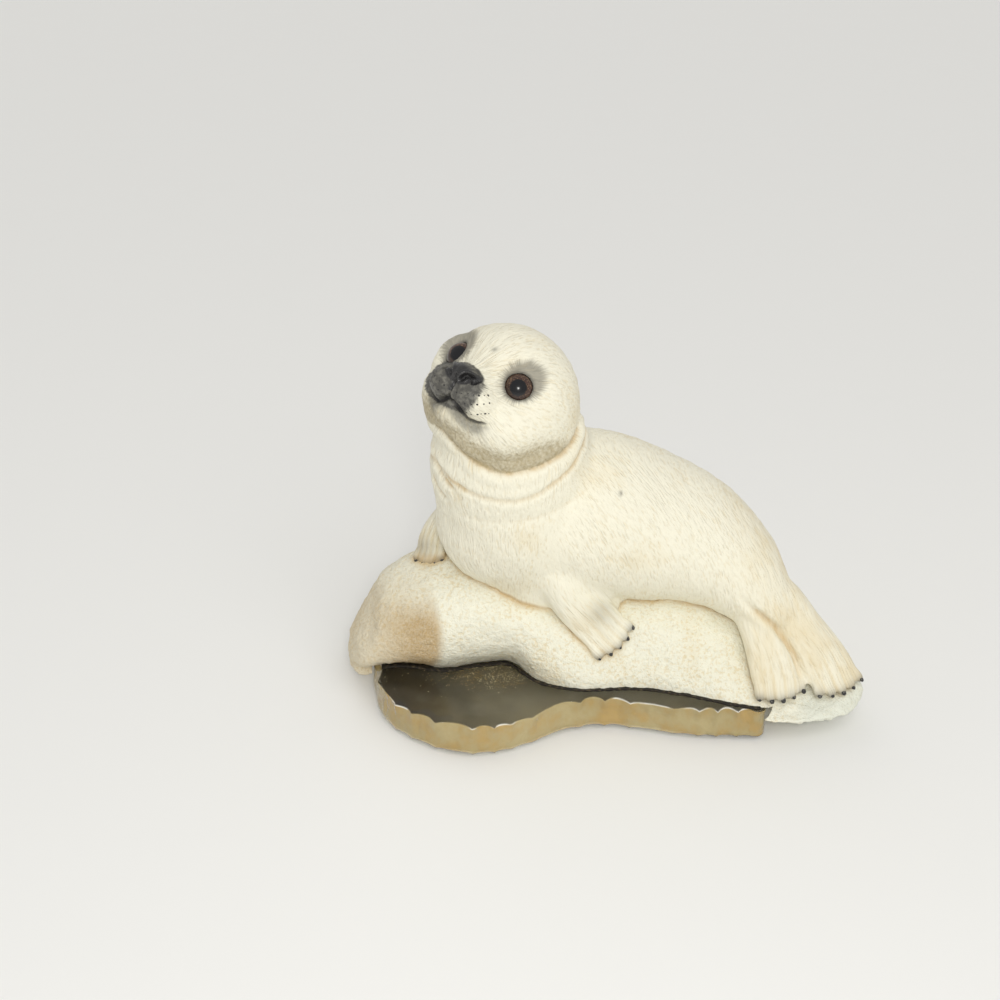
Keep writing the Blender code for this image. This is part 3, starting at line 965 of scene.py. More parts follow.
@dataclass
class SealPup:
    """The pup: trunk, neck, head and flippers as one skin, with its folds, fur and paint masks."""

    voxel: float = 0.66
    trunk: tuple[Ring, ...] = (
        Ring(-24, 4, 43, 21.0, 21.0), Ring(-15, 5, 45, 24.0, 25.0), Ring(-4, 7, 44, 26.0, 25.5),
        Ring(11, 8, 39.5, 25.5, 23.5), Ring(26, 6, 35, 23.5, 20.0), Ring(38, 0, 29.5, 19.0, 15.5),
        Ring(45, -6, 24.5, 14.5, 12.0), Ring(50, -10, 20, 10.5, 8.5),
    )
    neck: tuple[Ring, ...] = (
        Ring(-20, 5, 30, 20.0, 20.0), Ring(-25, 4, 45, 24.0, 24.0), Ring(-28, 3, 58, 24.5, 23.5),
        Ring(-29.5, 2, 68, 24.0, 23.0), Ring(-31, 1, 77, 21.5, 21.0), Ring(-32, 0.5, 84, 17.0, 17.0),
    )
    chest: tuple[Any, Any] = ((-29.0, 3.0, 45.5), (23.0, 21.5, 23.5))
    armpit: tuple[Any, Any] = ((-2.0, -8.5, 20.5), (7.0, 4.5, 3.5))
    fore: Flipper = Flipper((
        Ring(-15, -9, 38, 8.0, 7.5), Ring(-13.5, -12.5, 31.5, 7.2, 6.2), Ring(-10, -14, 25.5, 7.4, 4.6),
        Ring(-4.2, -15.4, 19.6, 7.8, 3.2), Ring(0.2, -17.6, 15.4, 7.9, 2.3),
    ), (0.6, 0.33, 0.53))
    far_fore: Flipper = Flipper((
        Ring(-36, 20, 37, 7.0, 7.0), Ring(-45, 19, 36.5, 6.2, 5.6), Ring(-50.5, 15, 34.5, 5.2, 4.2),
        Ring(-53.4, 9.5, 32.5, 4.8, 3.3), Ring(-54, 6, 30.5, 4.6, 2.5),
    ), (0.9, -0.35, 0.0))
    near_hind: Flipper = Flipper((
        Ring(43.5, -9, 23, 6.5, 6.0), Ring(46.2, -16, 16.5, 6.4, 4.8), Ring(49.3, -23.5, 9.0, 7.6, 3.6),
        Ring(50.8, -29, 5.2, 8.0, 2.5),
    ), (1.0, 0.1, 0.0))
    far_hind: Flipper = Flipper((
        Ring(53, -9.5, 22.5, 7.0, 6.5), Ring(59.0, -14, 15, 7.8, 5.2), Ring(65.0, -20.5, 9.0, 8.6, 3.8),
        Ring(68.2, -26, 5.4, 8.8, 2.5),
    ), (0.9, 0.45, 0.1))
    creases: tuple[Crease, ...] = (
        Crease((
            (-8.6, -1, 91), (-9.5, -4.6, 89.2), (-13.8, -13.1, 86.4), (-18.2, -16.7, 85.2),
            (-22.2, -18.8, 84.1), (-31.0, -20.2, 83.1), (-36.6, -18.8, 84.6), (-42.3, -16.8, 87.0),
            (-46.6, -15.1, 90.8), (-49.4, -12.1, 93.0), (-51, -4, 92.5), (-49, 8, 89), (-40, 17, 84),
            (-27, 20.5, 82), (-15, 15, 86), (-9, 6, 91),
        ), 0.85, 1.05, True),
        Crease((
            (-7.4, 3.1, 86.5), (-7.7, -3.1, 85.5), (-9.3, -7.9, 84.2), (-11.4, -12.1, 81.6),
            (-14.9, -16, 79.5), (-18.7, -18.6, 77.6), (-22.1, -19.8, 75.8), (-28.4, -21, 74.4),
            (-35.5, -20, 74.6), (-41, -17.7, 75.6), (-45.4, -14.6, 77.2), (-49.8, -9.2, 79.6),
            (-52.5, 0, 79), (-50, 11, 75), (-42, 20, 72), (-30, 24, 71), (-18, 21, 74), (-10, 12, 81),
        ), 0.5, 0.75, True),
        Crease((
            (-3.2, -6.5, 77), (-7.7, -11.7, 73), (-15.1, -16.5, 70), (-23.8, -20.2, 68.0),
            (-32.4, -20.3, 67.2), (-41.1, -16.9, 66.8), (-48, -11, 68),
        ), 0.3, 1.4, False),
        Crease(((-52, -4, 84), (-51.3, -7, 80), (-48, -11.6, 76.6), (-45, -15, 74.4)), 0.95, 0.9, False),
        Crease(((-52.4, -3, 75), (-51, -7.5, 71.6), (-48, -11.5, 70)), 0.85, 0.9, False),
        Crease(((-52, -2, 66), (-51, -6.5, 63), (-48.6, -9.5, 61.8)), 0.7, 0.9, False),
        Crease(((-51.5, -1, 57), (-50.6, -5.5, 54.6), (-48.6, -8.5, 53.8)), 0.3, 0.8, False),
        Crease((
            (39, -17.6, 40.5), (42.4, -18.6, 36.6), (45.3, -19, 34.3), (48.6, -19.7, 31.7),
            (51.4, -20, 28.9), (53.4, -20.6, 26.4), (55.0, -22.0, 24.0), (56.2, -23.6, 22.1),
            (57.8, -27.5, 18.3), (58.4, -29.1, 17),
        ), 1.5, 0.9, False),
    )

    smudges: tuple[Any, ...] = (
        ((-1.4, -17.0, 33.6), (5.0, 5.0, 4.2), 0.3), ((-56.0, 7.0, 42.5), (5.0, 5.0, 3.0), 0.4),
        ((-44.5, 1.0, 120.8), (1.6, 1.2, 1.0), 0.4), ((-38.4, -2.2, 118.8), (1.2, 1.4, 1.0), 0.5),
        ((-33.9, -7.9, 116.2), (0.9, 0.9, 0.9), 0.5), ((2.8, -11.1, 71.7), (0.5, 0.7, 1.0), 0.7),
    )

    # How the ochre painted shade in the folds falls off from each fold
    fold_shade: tuple[Press, ...] = (Press(0.76, 0.9), Press(0.24, 3.2))
    toe_count: int = 5
    toe_size: tuple[float, float] = (3.6, 1.75)
    toe_arc: float = 2.6
    toe_fan: float = 0.35
    ray_depth: float = 0.42
    nail_size: tuple[float, float, float] = (1.55, 1.3, 1.9)
    whisker_size: tuple[float, float, float] = (0.58, 0.5, 0.24)
    socket_gap: float = 0.06

    def flippers(self) -> dict[str, Flipper]:
        """The flippers by name."""
        return {"fore": self.fore, "far_fore": self.far_fore, "near_hind": self.near_hind,
                "far_hind": self.far_hind}

    def build(self) -> Any:
        """The whole pup as one skin.

        Returns:
            The finished object.
        """
        clay = [Clay.limb("trunk", self.trunk, (0, 1, 0)), Clay.limb("neck", self.neck, (1, 0, 0))]
        for centre, radii in (self.chest, self.armpit):
            place = Vector(centre) * MM + Vector((0, 0, CASTING_BASE * MM))
            clay.append(Clay.lump("filling", Matrix.Translation(place), [r * MM for r in radii]))
        toes = []
        for name, flipper in self.flippers().items():
            clay.append(Clay.limb(name, flipper.rings, flipper.side))
            toes += [Clay.lump("toe", place, size) for place, size, _ in self.toes(flipper)]
        body = Clay.fuse("body", clay, self.voxel * MM, 30)
        body = Clay.fuse("body", [body, *toes], self.voxel * MM, 4)
        head = HEAD.build(self.voxel * MM, 13)
        HEAD.press_orbits(head)
        seal = Clay.fuse("seal", [body, head], self.voxel * MM, 2)
        self.refine_face(seal)
        HEAD.press_mouth(seal)
        HEAD.press_nose(seal)
        HEAD.press_lids(seal)
        self.fold(seal)
        seal = self.comb(seal)
        radius = (HEAD.eye_radius + self.socket_gap) * MM
        sockets = [Eye.ball("socket", HEAD.eye_at(side), radius) for side in (1, -1)]
        return Clay.carve(seal, sockets)

    def toes(self, flipper: Flipper) -> list[tuple[Matrix, tuple, Vector]]:
        """The toes at the end of a flipper, as a fan of rounded lumps.

        Args:
            flipper: The flipper.

        Returns:
            For each toe its placing, whose first axis points out of it, its radii and its tip.
        """
        length, radius = self.toe_size
        path = Clay.through([tuple(s) for s in flipper.rings])
        tip, before = path[-1], path[-5]
        along = Vector(tip[:3] - before[:3]).normalized()
        across = (Vector(flipper.side) - Vector(flipper.side).dot(along) * along).normalized()
        made = []
        for i in range(self.toe_count):
            share = 2 * (i + 0.5) / self.toe_count - 1
            centre = Vector(tip[:3]) + Vector((0, 0, CASTING_BASE))
            centre += across * share * (tip[3] - 0.2 * radius) + along * (1 - share**2) * self.toe_arc
            out = (along + self.toe_fan * share * across).normalized()
            third = out.cross(across).normalized()
            turn = Matrix((out, third.cross(out), third)).transposed().to_4x4()
            place = Matrix.Translation(centre * MM) @ turn
            size = (length * MM, radius * MM, radius * 0.95 * MM)
            made.append((place, size, (centre + out * length) * MM))
        return made

    def nails(self, material: Any) -> Any:
        """The dark nail on each toe."""
        places, aims, sizes = [], [], []
        for flipper in self.flippers().values():
            for place, _, tip in self.toes(flipper):
                out = place.col[0].xyz
                places.append(tip - out * 0.95 * MM + Vector((0, 0, 0.25 * MM)))
                aims.append((out + Vector((0, -0.1, -0.25))).normalized())
                sizes.append(1.0 + 0.12 * math.sin(len(sizes) * 2.3))
        form = Stamper("nail_form", *(size * MM for size in self.nail_size), material)
        return form.stamp("nails", places, aims, sizes)

    def whisker_marks(self, seal: Any, material: Any) -> Any:
        """The dark pits that the whiskers grow from."""
        tree = Clay.tree(seal)
        places, aims, sizes = [], [], []
        for i, spot in enumerate(HEAD.whisker_spots()):
            at, normal, _, _ = tree.find_nearest(spot)
            places.append(at)
            aims.append(normal)
            sizes.append(0.95 + 0.3 * math.sin(i * 1.7))
        form = Stamper("whisker_pit", *(size * MM for size in self.whisker_size), material)
        return form.stamp("whisker_marks", places, aims, sizes)

    @staticmethod
    def refine_face(seal: Any) -> None:
        """Gives the muzzle and the lids smaller faces."""
        points = Clay.read(seal)
        local = HEAD.local(points)
        chosen = (local[:, 0] > 13) & (np.linalg.norm(local[:, 1:] - (0, -4), axis=1) < 13)
        for side in (1, -1):
            off = np.linalg.norm(points - np.array(HEAD.eye_at(side)), axis=1) / MM
            chosen |= (off < HEAD.eye_radius + 2.2) & (off > HEAD.eye_radius - 1.5)
        Clay.refine(seal, chosen)

    def fold(self, seal: Any) -> None:
        """Presses the folds of the skin, and paints the masks of the painted shade in the folds and under
        the jaw.
        """
        points = Clay.read(seal) / MM
        fold_shade_mask = np.zeros(len(points))
        amount = np.zeros(len(points))
        for crease in self.creases:
            away, share = Clay.distance(points, Clay.through(crease.points, 14, crease.closed))
            ends = 1.0 if crease.closed else ramp(np.minimum(share, 1 - share), 0, 0.2)
            form = (Press(-1.0, crease.width), Press(0.42, 1.4 * crease.width, 2.6 * crease.width))
            amount += relief(away, form) * crease.depth * ends
            near = relief(away, self.fold_shade) * ends
            fold_shade_mask = np.maximum(fold_shade_mask, near * min(crease.depth / 0.6, 1.0))
        Clay.paint(seal, "fold", fold_shade_mask)
        self.shade_jaw(seal, points)
        Clay.push(seal, amount * MM)

    def shade_jaw(self, seal: Any, points: Points) -> None:
        """Paints the shade under the jaw, above the first fold of the neck."""
        ring = Clay.through(self.creases[0].points, 14, True)
        away, share = Clay.distance(points, ring)
        above = points[:, 2] - Clay.along(share, ring[:, 2])
        local = HEAD.local(points * MM)
        inside = ramp(np.linalg.norm(local, axis=1), 25.2, 24.0) * ramp(above, -0.8, 0.4)
        Clay.paint(seal, "jaw", bell(away, 7.5) * inside * ramp(local[:, 2], 2, -6))

    def comb(self, seal: Any) -> Any:
        """Lays the directions of the fur on the skin, paints it, and raises its tufts."""
        points = Clay.read(seal) / MM
        self.lay_fur(seal, points)
        self.soil(seal, points)
        self.comb_flippers(seal, points)
        return self.raise_tufts(seal)

    @staticmethod
    def lay_fur(seal: Any, points: Points) -> None:
        """Lays the directions of the fur of the body, the chest and the head."""
        local = HEAD.local(points * MM)
        x, y, z = points.T
        lean = 0.22 * z + 0.009 * np.maximum(z - 45, 0) ** 2 + 0.3 * np.minimum(y, 0)
        Clay.paint(seal, "on_head", ramp(np.linalg.norm(local, axis=1), 26.5, 24.0))
        Clay.paint(seal, "on_chest", ramp(x - (z - 60) * 0.25, -10, -22))
        Clay.paint(seal, "fur_head", radial(local[:, 1], local[:, 2] + 2, 0.5, 17, local[:, 0] * 0.32))
        Clay.paint(seal, "fur_chest", radial(x + 27, y - 3, 1.0, 23, z * 0.27))
        Clay.paint(seal, "fur_body", np.stack([x + lean, z * 0.27, y * 0.27], axis=1))

    def soil(self, seal: Any, points: Points) -> None:
        """Paints the soot round the nails and the smudges."""
        tips = [tip for flipper in self.flippers().values() for _, _, tip in self.toes(flipper)]
        nails = np.min([np.linalg.norm(points - np.array(tip) / MM, axis=1) for tip in tips], axis=0)
        Clay.paint(seal, "nail_soot", bell(nails, 2.3))
        smudge = np.zeros(len(points))
        for place, reach, share in self.smudges:
            off = np.linalg.norm((points - place) / reach, axis=1)
            smudge = np.maximum(smudge, share * bell(off, 1.0))
        Clay.paint(seal, "smudge", smudge)

    def comb_flippers(self, seal: Any, points: Points) -> None:
        """Lays the fur of the flippers, and presses and paints the grooves between the toes."""
        limb = np.zeros((len(points), 3))
        on_limb = np.zeros(len(points))
        rays = np.zeros(len(points))
        nearest_away = np.full(len(points), 99.0)
        second_away = np.full(len(points), 99.0)
        for flipper in self.flippers().values():
            path = Clay.through([tuple(s) for s in flipper.rings], 60)
            centres = path[:, :3] + (0, 0, CASTING_BASE)
            away, share = Clay.distance(points, centres)
            near = ramp(away, 11, 8) * ramp(share, 0.175, 0.425)
            nearest = np.rint(share * (len(path) - 1)).astype(int)
            across = (points - centres[nearest]) @ np.array(Vector(flipper.side).normalized())
            chosen = away < nearest_away
            limb[chosen] = np.stack([across, share * 4.0, away * 0.1], axis=1)[chosen]
            on_limb[chosen] = near[chosen]
            second_away = np.where(chosen, nearest_away, np.minimum(second_away, away))
            nearest_away = np.minimum(nearest_away, away)
            for i in range(1, self.toe_count):
                off = across - (2 * i / self.toe_count - 1) * path[nearest, 3]
                rays += bell(off, 0.5) * near * np.clip(share * 3 - 1.2, 0, 1)
        Clay.paint(seal, "fur_limb", limb)
        Clay.paint(seal, "on_limb", on_limb * ramp(second_away - nearest_away, 1.4, 3.4))
        Clay.paint(seal, "rays", rays)
        Clay.push(seal, -self.ray_depth * rays * MM)

    @staticmethod
    def raise_tufts(seal: Any) -> Any:
        """Raises tufts that follow the fur."""
        grower = Grower("fur_tufts", {"Tuft height": 0.34 * MM, "Tufts in a millimetre": 0.42})
        scale = grower.given("Tufts in a millimetre")
        tufts = [grower.noise(grower.attribute(name, "FLOAT_VECTOR"), scale, 1.0) for name in FUR_FLOWS]
        weights = [grower.attribute(name) for name in FUR_SHARES]
        height = grower.blend(tufts, weights)
        grower.displace((height - 0.5) * 2.0 * grower.given("Tuft height"))
        return grower.run(seal)


@dataclass
class SnowBank:
    """The snow bank under the pup, rough and crinkled, with its seat on the slab."""

    voxel: float = 0.66
    rows: tuple[Bank, ...] = (
        Bank(-79.5, -8, -9, 2, -7, 5, 7, 4, -2.5), Bank(-76, -11, -15, 3, -12, 9.5, 12.5, 14, -4),
        Bank(-72, -10, -17.5, 4.5, -14, 12, 19, 20, -4), Bank(-68, -8.5, -18, 6, -13, 18, 24, 23, -3),
        Bank(-59, -9, -19, 8, -13, 22, 28.5, 28, -3), Bank(-50, -12, -19.5, 9, -14, 24, 30, 31, -3),
        Bank(-39, -9.5, -18.5, 10, -15, 25, 32, 32, -3), Bank(-29, -8.5, -18, 10, -15, 23, 31, 32, -3),
        Bank(-21, -19, -21, 9, -15, 21, 29, 32, -3), Bank(-8, -24.5, -23, 6, -14, 18, 27, 31, -3),
        Bank(8, -23.5, -22, 5, -12.5, 18.5, 26, 30, -3), Bank(24, -27, -25, 4, -14, 17, 24, 26, -3),
        Bank(36, -31.5, -29, 3, -15.5, 13, 21, 21, -3), Bank(43.5, -33, -32, 1.5, -21, 7, 17, 16, -3),
        Bank(50, -35, -34, -0.5, -27, 3, 13.5, 11, -3), Bank(60, -34, -34, -1.5, -28, 2, 7, 4, -3.5),
        Bank(71, -32, -32, -1.5, -27, 2.2, 3.5, -8, -3.5), Bank(77, -26, -26, -1, -23, 1.5, 2, -16, -2.5),
    )

    layers: tuple[tuple[str, float], ...] = (
        ("Drift height", 85.0), ("Crinkle height", 330.0), ("Grain height", 800.0),
    )
    broken: tuple[float, float] = (48.0, 56.0)
    chunk_scale: float = 210.0
    # The dark bead of painted shadow along the snow's foot: where it runs, its step and its radius
    shadow_line_span: tuple[float, float] = (-69.0, 45.4)
    shadow_line_step: float = 0.9
    shadow_line_radius: float = 0.85

    def build(self, pup: Any) -> Any:
        """The bank, with the mask of the ochre painted shade where the pup touches it.

        Args:
            pup: The finished pup.

        Returns:
            The finished object.
        """
        sections = []
        for s in self.rows:
            middle = 0.5 * (s.brow + s.back)
            sections.append([
                (s.x, s.foot, s.base_z), (s.x, s.foot, 0.4 * s.base_z), (s.x, s.bulge, s.bulge_z),
                (s.x, s.brow, s.brow_z), (s.x, middle, s.crown_z), (s.x, s.back - 4, s.brow_z * 0.8),
                (s.x, s.back, s.bulge_z), (s.x, s.back - 2, s.base_z),
            ])
        grid = np.array([Clay.through(r, 5, closed=True) for r in sections])
        grid = Clay.through(grid.reshape(len(sections), -1), 4).reshape(-1, grid.shape[1], 3)
        bank = Clay.skin("snow_bank", (grid + (0, 0, CASTING_BASE)) * MM)
        bank = Clay.fuse("snow_bank", [bank], self.voxel * MM, 10)
        bank = self.crinkle(bank)
        bank = Clay.carve(bank, [IceSlab().seat_cutter()])
        Clay.paint_contact(bank, pup, 1.1)
        return bank

    def crinkle(self, bank: Any) -> Any:
        """Roughens the bank with drifts, crinkles and grains, and breaks its end under the tail."""
        grower = Grower("snow_grain", {
            "Drift height": 1.1 * MM, "Crinkle height": 0.8 * MM, "Grain height": 0.55 * MM,
            "Broken height": 1.3 * MM,
        })
        at = Wire(grower, grower.node("GeometryNodeInputPosition").outputs[0])
        start, end = self.broken
        chunks = grower.cells(at, self.chunk_scale) - 0.45
        shown = grower.step(grower.split(at)[0], start * MM, end * MM)
        height = chunks * shown * grower.given("Broken height")
        for name, scale in self.layers:
            height = height + (grower.noise(at, scale, 1.0) - 0.5) * grower.given(name)
        grower.displace(height)
        return grower.run(bank)

    def shadow_line(self, bank: Any) -> Any:
        """A dark bead of painted shadow along the foot of the snow: it stands for the shadow line under
        the snow's edge.
        """
        points = Clay.read(bank) / MM
        low = points[np.abs(points[:, 2] - CASTING_BASE - 0.5) < self.shadow_line_step]
        rings = []
        for x in np.arange(*self.shadow_line_span, self.shadow_line_step):
            foot = low[np.abs(low[:, 0] - x) < self.shadow_line_step][:, 1].min()
            sway = noise.noise(Vector((x * 0.6, 0, 0)))
            rings.append((x, foot + 0.1 + 0.25 * sway, SLAB_TOP + 0.12, self.shadow_line_radius + 0.4 * sway))
        path = np.array(rings)
        for _ in range(2):
            path[1:-1, 1] = (path[:-2, 1] + 2 * path[1:-1, 1] + path[2:, 1]) / 4
        tube = []
        for x, y, z, radius in path:
            ring = []
            for a in np.linspace(0, 2 * math.pi, 12, endpoint=False):
                rough = 1 + 0.3 * noise.noise(Vector((x * 1.3, math.cos(a) * 1.1, math.sin(a) * 1.1)))
                ring.append((x * MM, (y + math.cos(a) * radius * rough) * MM,
                             (z + math.sin(a) * radius * 0.5 * rough) * MM))
            tube.append(ring)
        return Clay.skin("shadow_line_bead", tube)


@dataclass
class IceSlab:
    """The clear resin slab with its chipped edge."""

    per_span: int = 14
    felt_inset: float = 2.0
    chip_end: float = 45.0
    chip_size: float = 1.15
    chip_bend: float = 0.62
    seat_gap: float = 0.2
    corner_gap: float = 1.6
    speck_count: int = 800
    speck_middle: tuple[float, float] = (-34.0, -16.5)
    speck_spreads: tuple[Any, Any] = ((7.5, 3.4), (22.0, 5.0))
    speck_size: tuple[float, float, float] = (0.3, 0.26, 0.1)
    levels: tuple[tuple[float, float], ...] = (
        (0.0, 0.5), (0.03, 0.28), (0.08, 0.1), (0.2, 0.05), (0.35, 0.14), (0.5, 0.3), (0.65, 0.5),
        (0.78, 0.66), (0.88, 0.8), (0.94, 0.88), (0.975, 0.96), (0.993, 1.12), (1.0, 1.4),
    )

    def outline(self, inset: Any, per_span: int | None = None) -> Points:
        """The slab's outline, drawn in along its normals.

        Args:
            inset: How far, for the whole line or for each point.
            per_span: Points between two of the table's.

        Returns:
            The points of the outline.
        """
        points = Clay.through(SLAB_OUTLINE, per_span or self.per_span, closed=True)
        tangent = np.roll(points, -1, axis=0) - np.roll(points, 1, axis=0)
        tangent /= np.linalg.norm(tangent, axis=1)[:, None]
        inward = np.stack([-tangent[:, 1], tangent[:, 0]], axis=1)
        return points + inward * np.asarray(inset).reshape(-1, 1)

    def chips(self) -> Points:
        """How deep the chipped edge bites at each point: a row of shallow scallops."""
        points = self.outline(0.0)
        steps = np.linalg.norm(np.roll(points, -1, axis=0) - points, axis=1)
        run = np.concatenate([[0], np.cumsum(steps)[:-1]])
        count = round(steps.sum() / CHIP_PITCH)
        phase = run / steps.sum() * count
        sway = 0.3 * np.sin(phase * 1.7) + 0.24 * np.sin(phase * 0.8 + 1.0)
        bite = 0.72 + 0.28 * np.sin(phase * 1.3 + 0.6)
        shown = ramp(points[:, 0], self.chip_end, self.chip_end - 4)
        scallop = np.abs(np.sin(math.pi * (phase + sway))) ** self.chip_bend
        return shown * self.chip_size * CHIP_DEPTH * bite * scallop

    def specks(self, material: Any) -> Any:
        """The glitter in the top of the slab, thickest in front of the snow's hollow."""
        draw = np.random.default_rng(7)
        places, aims, sizes = [], [], []
        dense, wide = self.speck_spreads
        middle_x, middle_y = self.speck_middle
        for i in range(self.speck_count):
            x, y = draw.normal((middle_x, middle_y - 0.1 * (i % 9)), dense if i % 4 else wide)
            if -70 < x < 40 and -31.5 < y < -9.5:
                places.append((x * MM, y * MM, (SLAB_TOP + 0.03) * MM))
                aims.append((0, 0, 1))
                sizes.append(draw.uniform(0.5, 1.3))
        form = Stamper("speck", *(size * MM for size in self.speck_size), material)
        return form.stamp("glitter", places, aims, sizes)

    def build(self) -> Any:
        """The slab with chips and finer facets in its edge, its bottom painted where the felt is."""
        chip = self.chips()
        rings = [[(x * MM, y * MM, SLAB_BOTTOM * MM) for x, y in self.outline(chip + self.felt_inset)]]
        for share, pull in self.levels:
            height = SLAB_BOTTOM + share * SLAB_THICKNESS
            plain = self.outline(0.0)
            ripple = np.array([noise.noise(Vector((x, y, height)) * 0.32) for x, y in plain])
            ripple = np.abs(ripple) * 1.3 * math.sin(math.pi * min(max(share, 0.02), 0.98))
            plan = self.outline(chip * min(pull, 1.0) + EDGE_ROUND * max(pull - 0.9, 0) * 0.9 + ripple)
            rings.append([(x * MM, y * MM, height * MM) for x, y in plan])
        slab = Clay.skin("ice_slab_clear", rings, flat_ends=True)
        on_felt = np.zeros(len(slab.data.vertices))
        on_felt[: len(chip)] = 1.0
        Clay.paint(slab, "on_felt", on_felt)
        return slab

    def seat_cutter(self) -> Any:
        """What the slab takes out of the snow: its outline with a gap, wider at the front corner."""
        line = self.outline(0.0, 6)
        corner = ramp(line[:, 0], 36, 41) * (line[:, 1] < -26)
        plan = self.outline(-self.seat_gap - self.corner_gap * corner, 6)
        rings = [[(x * MM, y * MM, z * MM) for x, y in plan] for z in (0.0, CASTING_BASE)]
        return Clay.skin("seat_cutter", rings, flat_ends=True)


class Eye:
    """A round glass eye."""

    @staticmethod
    def ball(name: str, centre: Vector, radius: float) -> Any:
        """A fine ball with its place in its mesh."""
        bm = bmesh.new()
        bmesh.ops.create_uvsphere(bm, u_segments=64, v_segments=40, radius=radius)
        bm.transform(Matrix.Translation(centre))
        return Clay.from_bmesh(name, bm)


@dataclass(frozen=True)
class PaintedFur:
    """The pup's paint: cream fur with fine strokes, ochre painted shade in its folds and at the snow, and
    the grey of the face.
    """

    cream: Colour = linear(241, 237, 218)
    tan: Colour = linear(222, 204, 162)
    shade_ochre: Colour = linear(200, 168, 112)
    jaw: Colour = linear(166, 152, 118)
    grey: Colour = linear(70, 69, 67)
    pale_grey: Colour = linear(114, 112, 105)
    shade: Colour = linear(112, 107, 96)
    black: Colour = linear(32, 31, 33)
    hairs: float = 1.75
    locks: float = 0.6

    def material(self) -> Any:
        """The material of the pup's skin."""
        s = Shader("painted_fur")
        at = s.place()
        flows = [s.painted_vector(name) for name in FUR_FLOWS]
        weights = [s.painted(name) for name in FUR_SHARES]
        hair, lock = (
            s.blend([s.noise(flow, scale, 1.0) for flow in flows], weights)
            for scale in (self.hairs, self.locks)
        )
        groove = s.step(hair, 0.5, 0.3)
        blotch = s.noise(at, 62.0, 2.0)
        broken = s.step(blotch + (lock - 0.5) * 0.5, 0.36, 0.62)
        colour = s.mix(s.step(blotch, 0.5, 0.8) * 0.35, self.cream, self.tan)
        colour = s.mix(groove * (0.16 + broken * 0.2), colour, self.tan)
        tail = s.vectors("DOT_PRODUCT", at, (1.0, 0.0, 0.0))
        colour = s.mix(s.step(tail, 0.03, 0.05) * (0.12 + broken * 0.3), colour, self.tan)
        # ochre painted shade in the folds of the skin
        colour = s.mix(s.step(s.painted("fold"), 0.2, 1.0) * (0.28 + broken * 0.42), colour, self.shade_ochre)
        colour = s.mix(s.step(s.painted("rays"), 0.1, 1.0) * 0.4, colour, self.tan)
        # ochre painted shade where the pup touches the snow
        colour = s.mix(s.step(s.painted("contact_shade"), 0.25, 1.0) * (0.2 + broken * 0.5), colour, self.shade_ochre)
        # brown painted shade under the jaw, speckled by fine noise
        speckle_and_painted_light = s.noise(at, 1100.0, 2.0) - 0.5
        jaw = s.step(s.painted("jaw") + speckle_and_painted_light * 0.5 + (hair - 0.5) * 0.1, 0.02, 0.72)
        colour = s.mix(jaw * (0.74 + speckle_and_painted_light * 0.8), colour, self.jaw)
        ahead, left, up = self.head_coordinates(s, at)
        patch, rim = self.eye_patches(s, at, ahead, left, up, hair)
        colour = s.mix(patch, colour, self.shade)
        colour = s.mix(rim, colour, self.grey)
        muzzle = self.muzzle(s, ahead, left, up, hair)
        crinkle = s.noise(at, 620.0, 3.0, 0.65)
        tone = s.mix(s.step(crinkle, 0.4, 0.66), self.grey, self.pale_grey)
        colour = s.mix(muzzle, colour, tone)
        soot = s.maths("MAXIMUM", s.painted("nail_soot") * 0.82, s.painted("smudge") * (0.5 + hair))
        colour = s.mix(soot, colour, self.grey)
        leather = s.step(s.painted("leather"), 0.15, 0.85)
        mouth = s.step(s.painted("mouth"), 0.25, 0.9)
        colour = s.mix(leather * 0.94, colour, self.black)
        colour = s.mix(mouth * 0.86, colour, self.black)
        rough = 0.66 - muzzle * 0.2 - leather * 0.2
        relief = hair * 0.9 - groove * 0.12 + lock * 0.7
        smooth = 1.0 - muzzle * 0.75
        height = relief * smooth + crinkle * muzzle * 1.1
        return s.done(s.surface(
            Base_Color=colour, Roughness=rough, Normal=s.bump(height, 0.36 * MM),
            Coat_Weight=leather * 0.7, Coat_Roughness=0.16, Specular_IOR_Level=0.35,
        ))

    @staticmethod
    def head_coordinates(s: Shader, at: Wire) -> tuple[Wire, Wire, Wire]:
        """The point in the head's own millimetres: forward, left, up."""
        centre = Vector(HEAD.centre) * MM + Vector((0, 0, CASTING_BASE * MM))
        off = s.vectors("SUBTRACT", at, tuple(centre))
        forward, left, up = (s.vectors("DOT_PRODUCT", off, tuple(axis)) * (1 / MM) for axis in HEAD.axes())
        return forward, left, up

    @staticmethod
    def squared(s: Shader, value: Wire, power: float) -> Wire:
        """The size of a number to a power."""
        return s.maths("ABSOLUTE", value) ** power

    def muzzle(self, s: Shader, ahead: Wire, left: Wire, up: Wire, hair: Wire) -> Wire:
        """Where the muzzle and the lower lip are grey.

        Args:
            s: The shader.
            ahead: How far forward a point lies in the head.
            left: How far left.
            up: How far up.
            hair: The noise of the strokes, which frays the edge.

        Returns:
            The share of grey.
        """
        fray = (hair - 0.5) * 0.5
        below = s.step(up, -3.0, -3.4)
        wide = self.squared(s, (left + 3.9) / 12.9, 2.6)
        tall = self.squared(s, (up + 3.4) / 6.3, 2.6) * (1.0 - below * 0.25)
        pads = s.step(wide + tall + fray, 1.12, 0.8) * s.step(ahead, 11.0, 14.0)
        lip = s.step(s.painted("lip") + fray * 0.6, 0.02, 0.85)
        return s.maths("MAXIMUM", pads * 0.96, lip * 0.7)

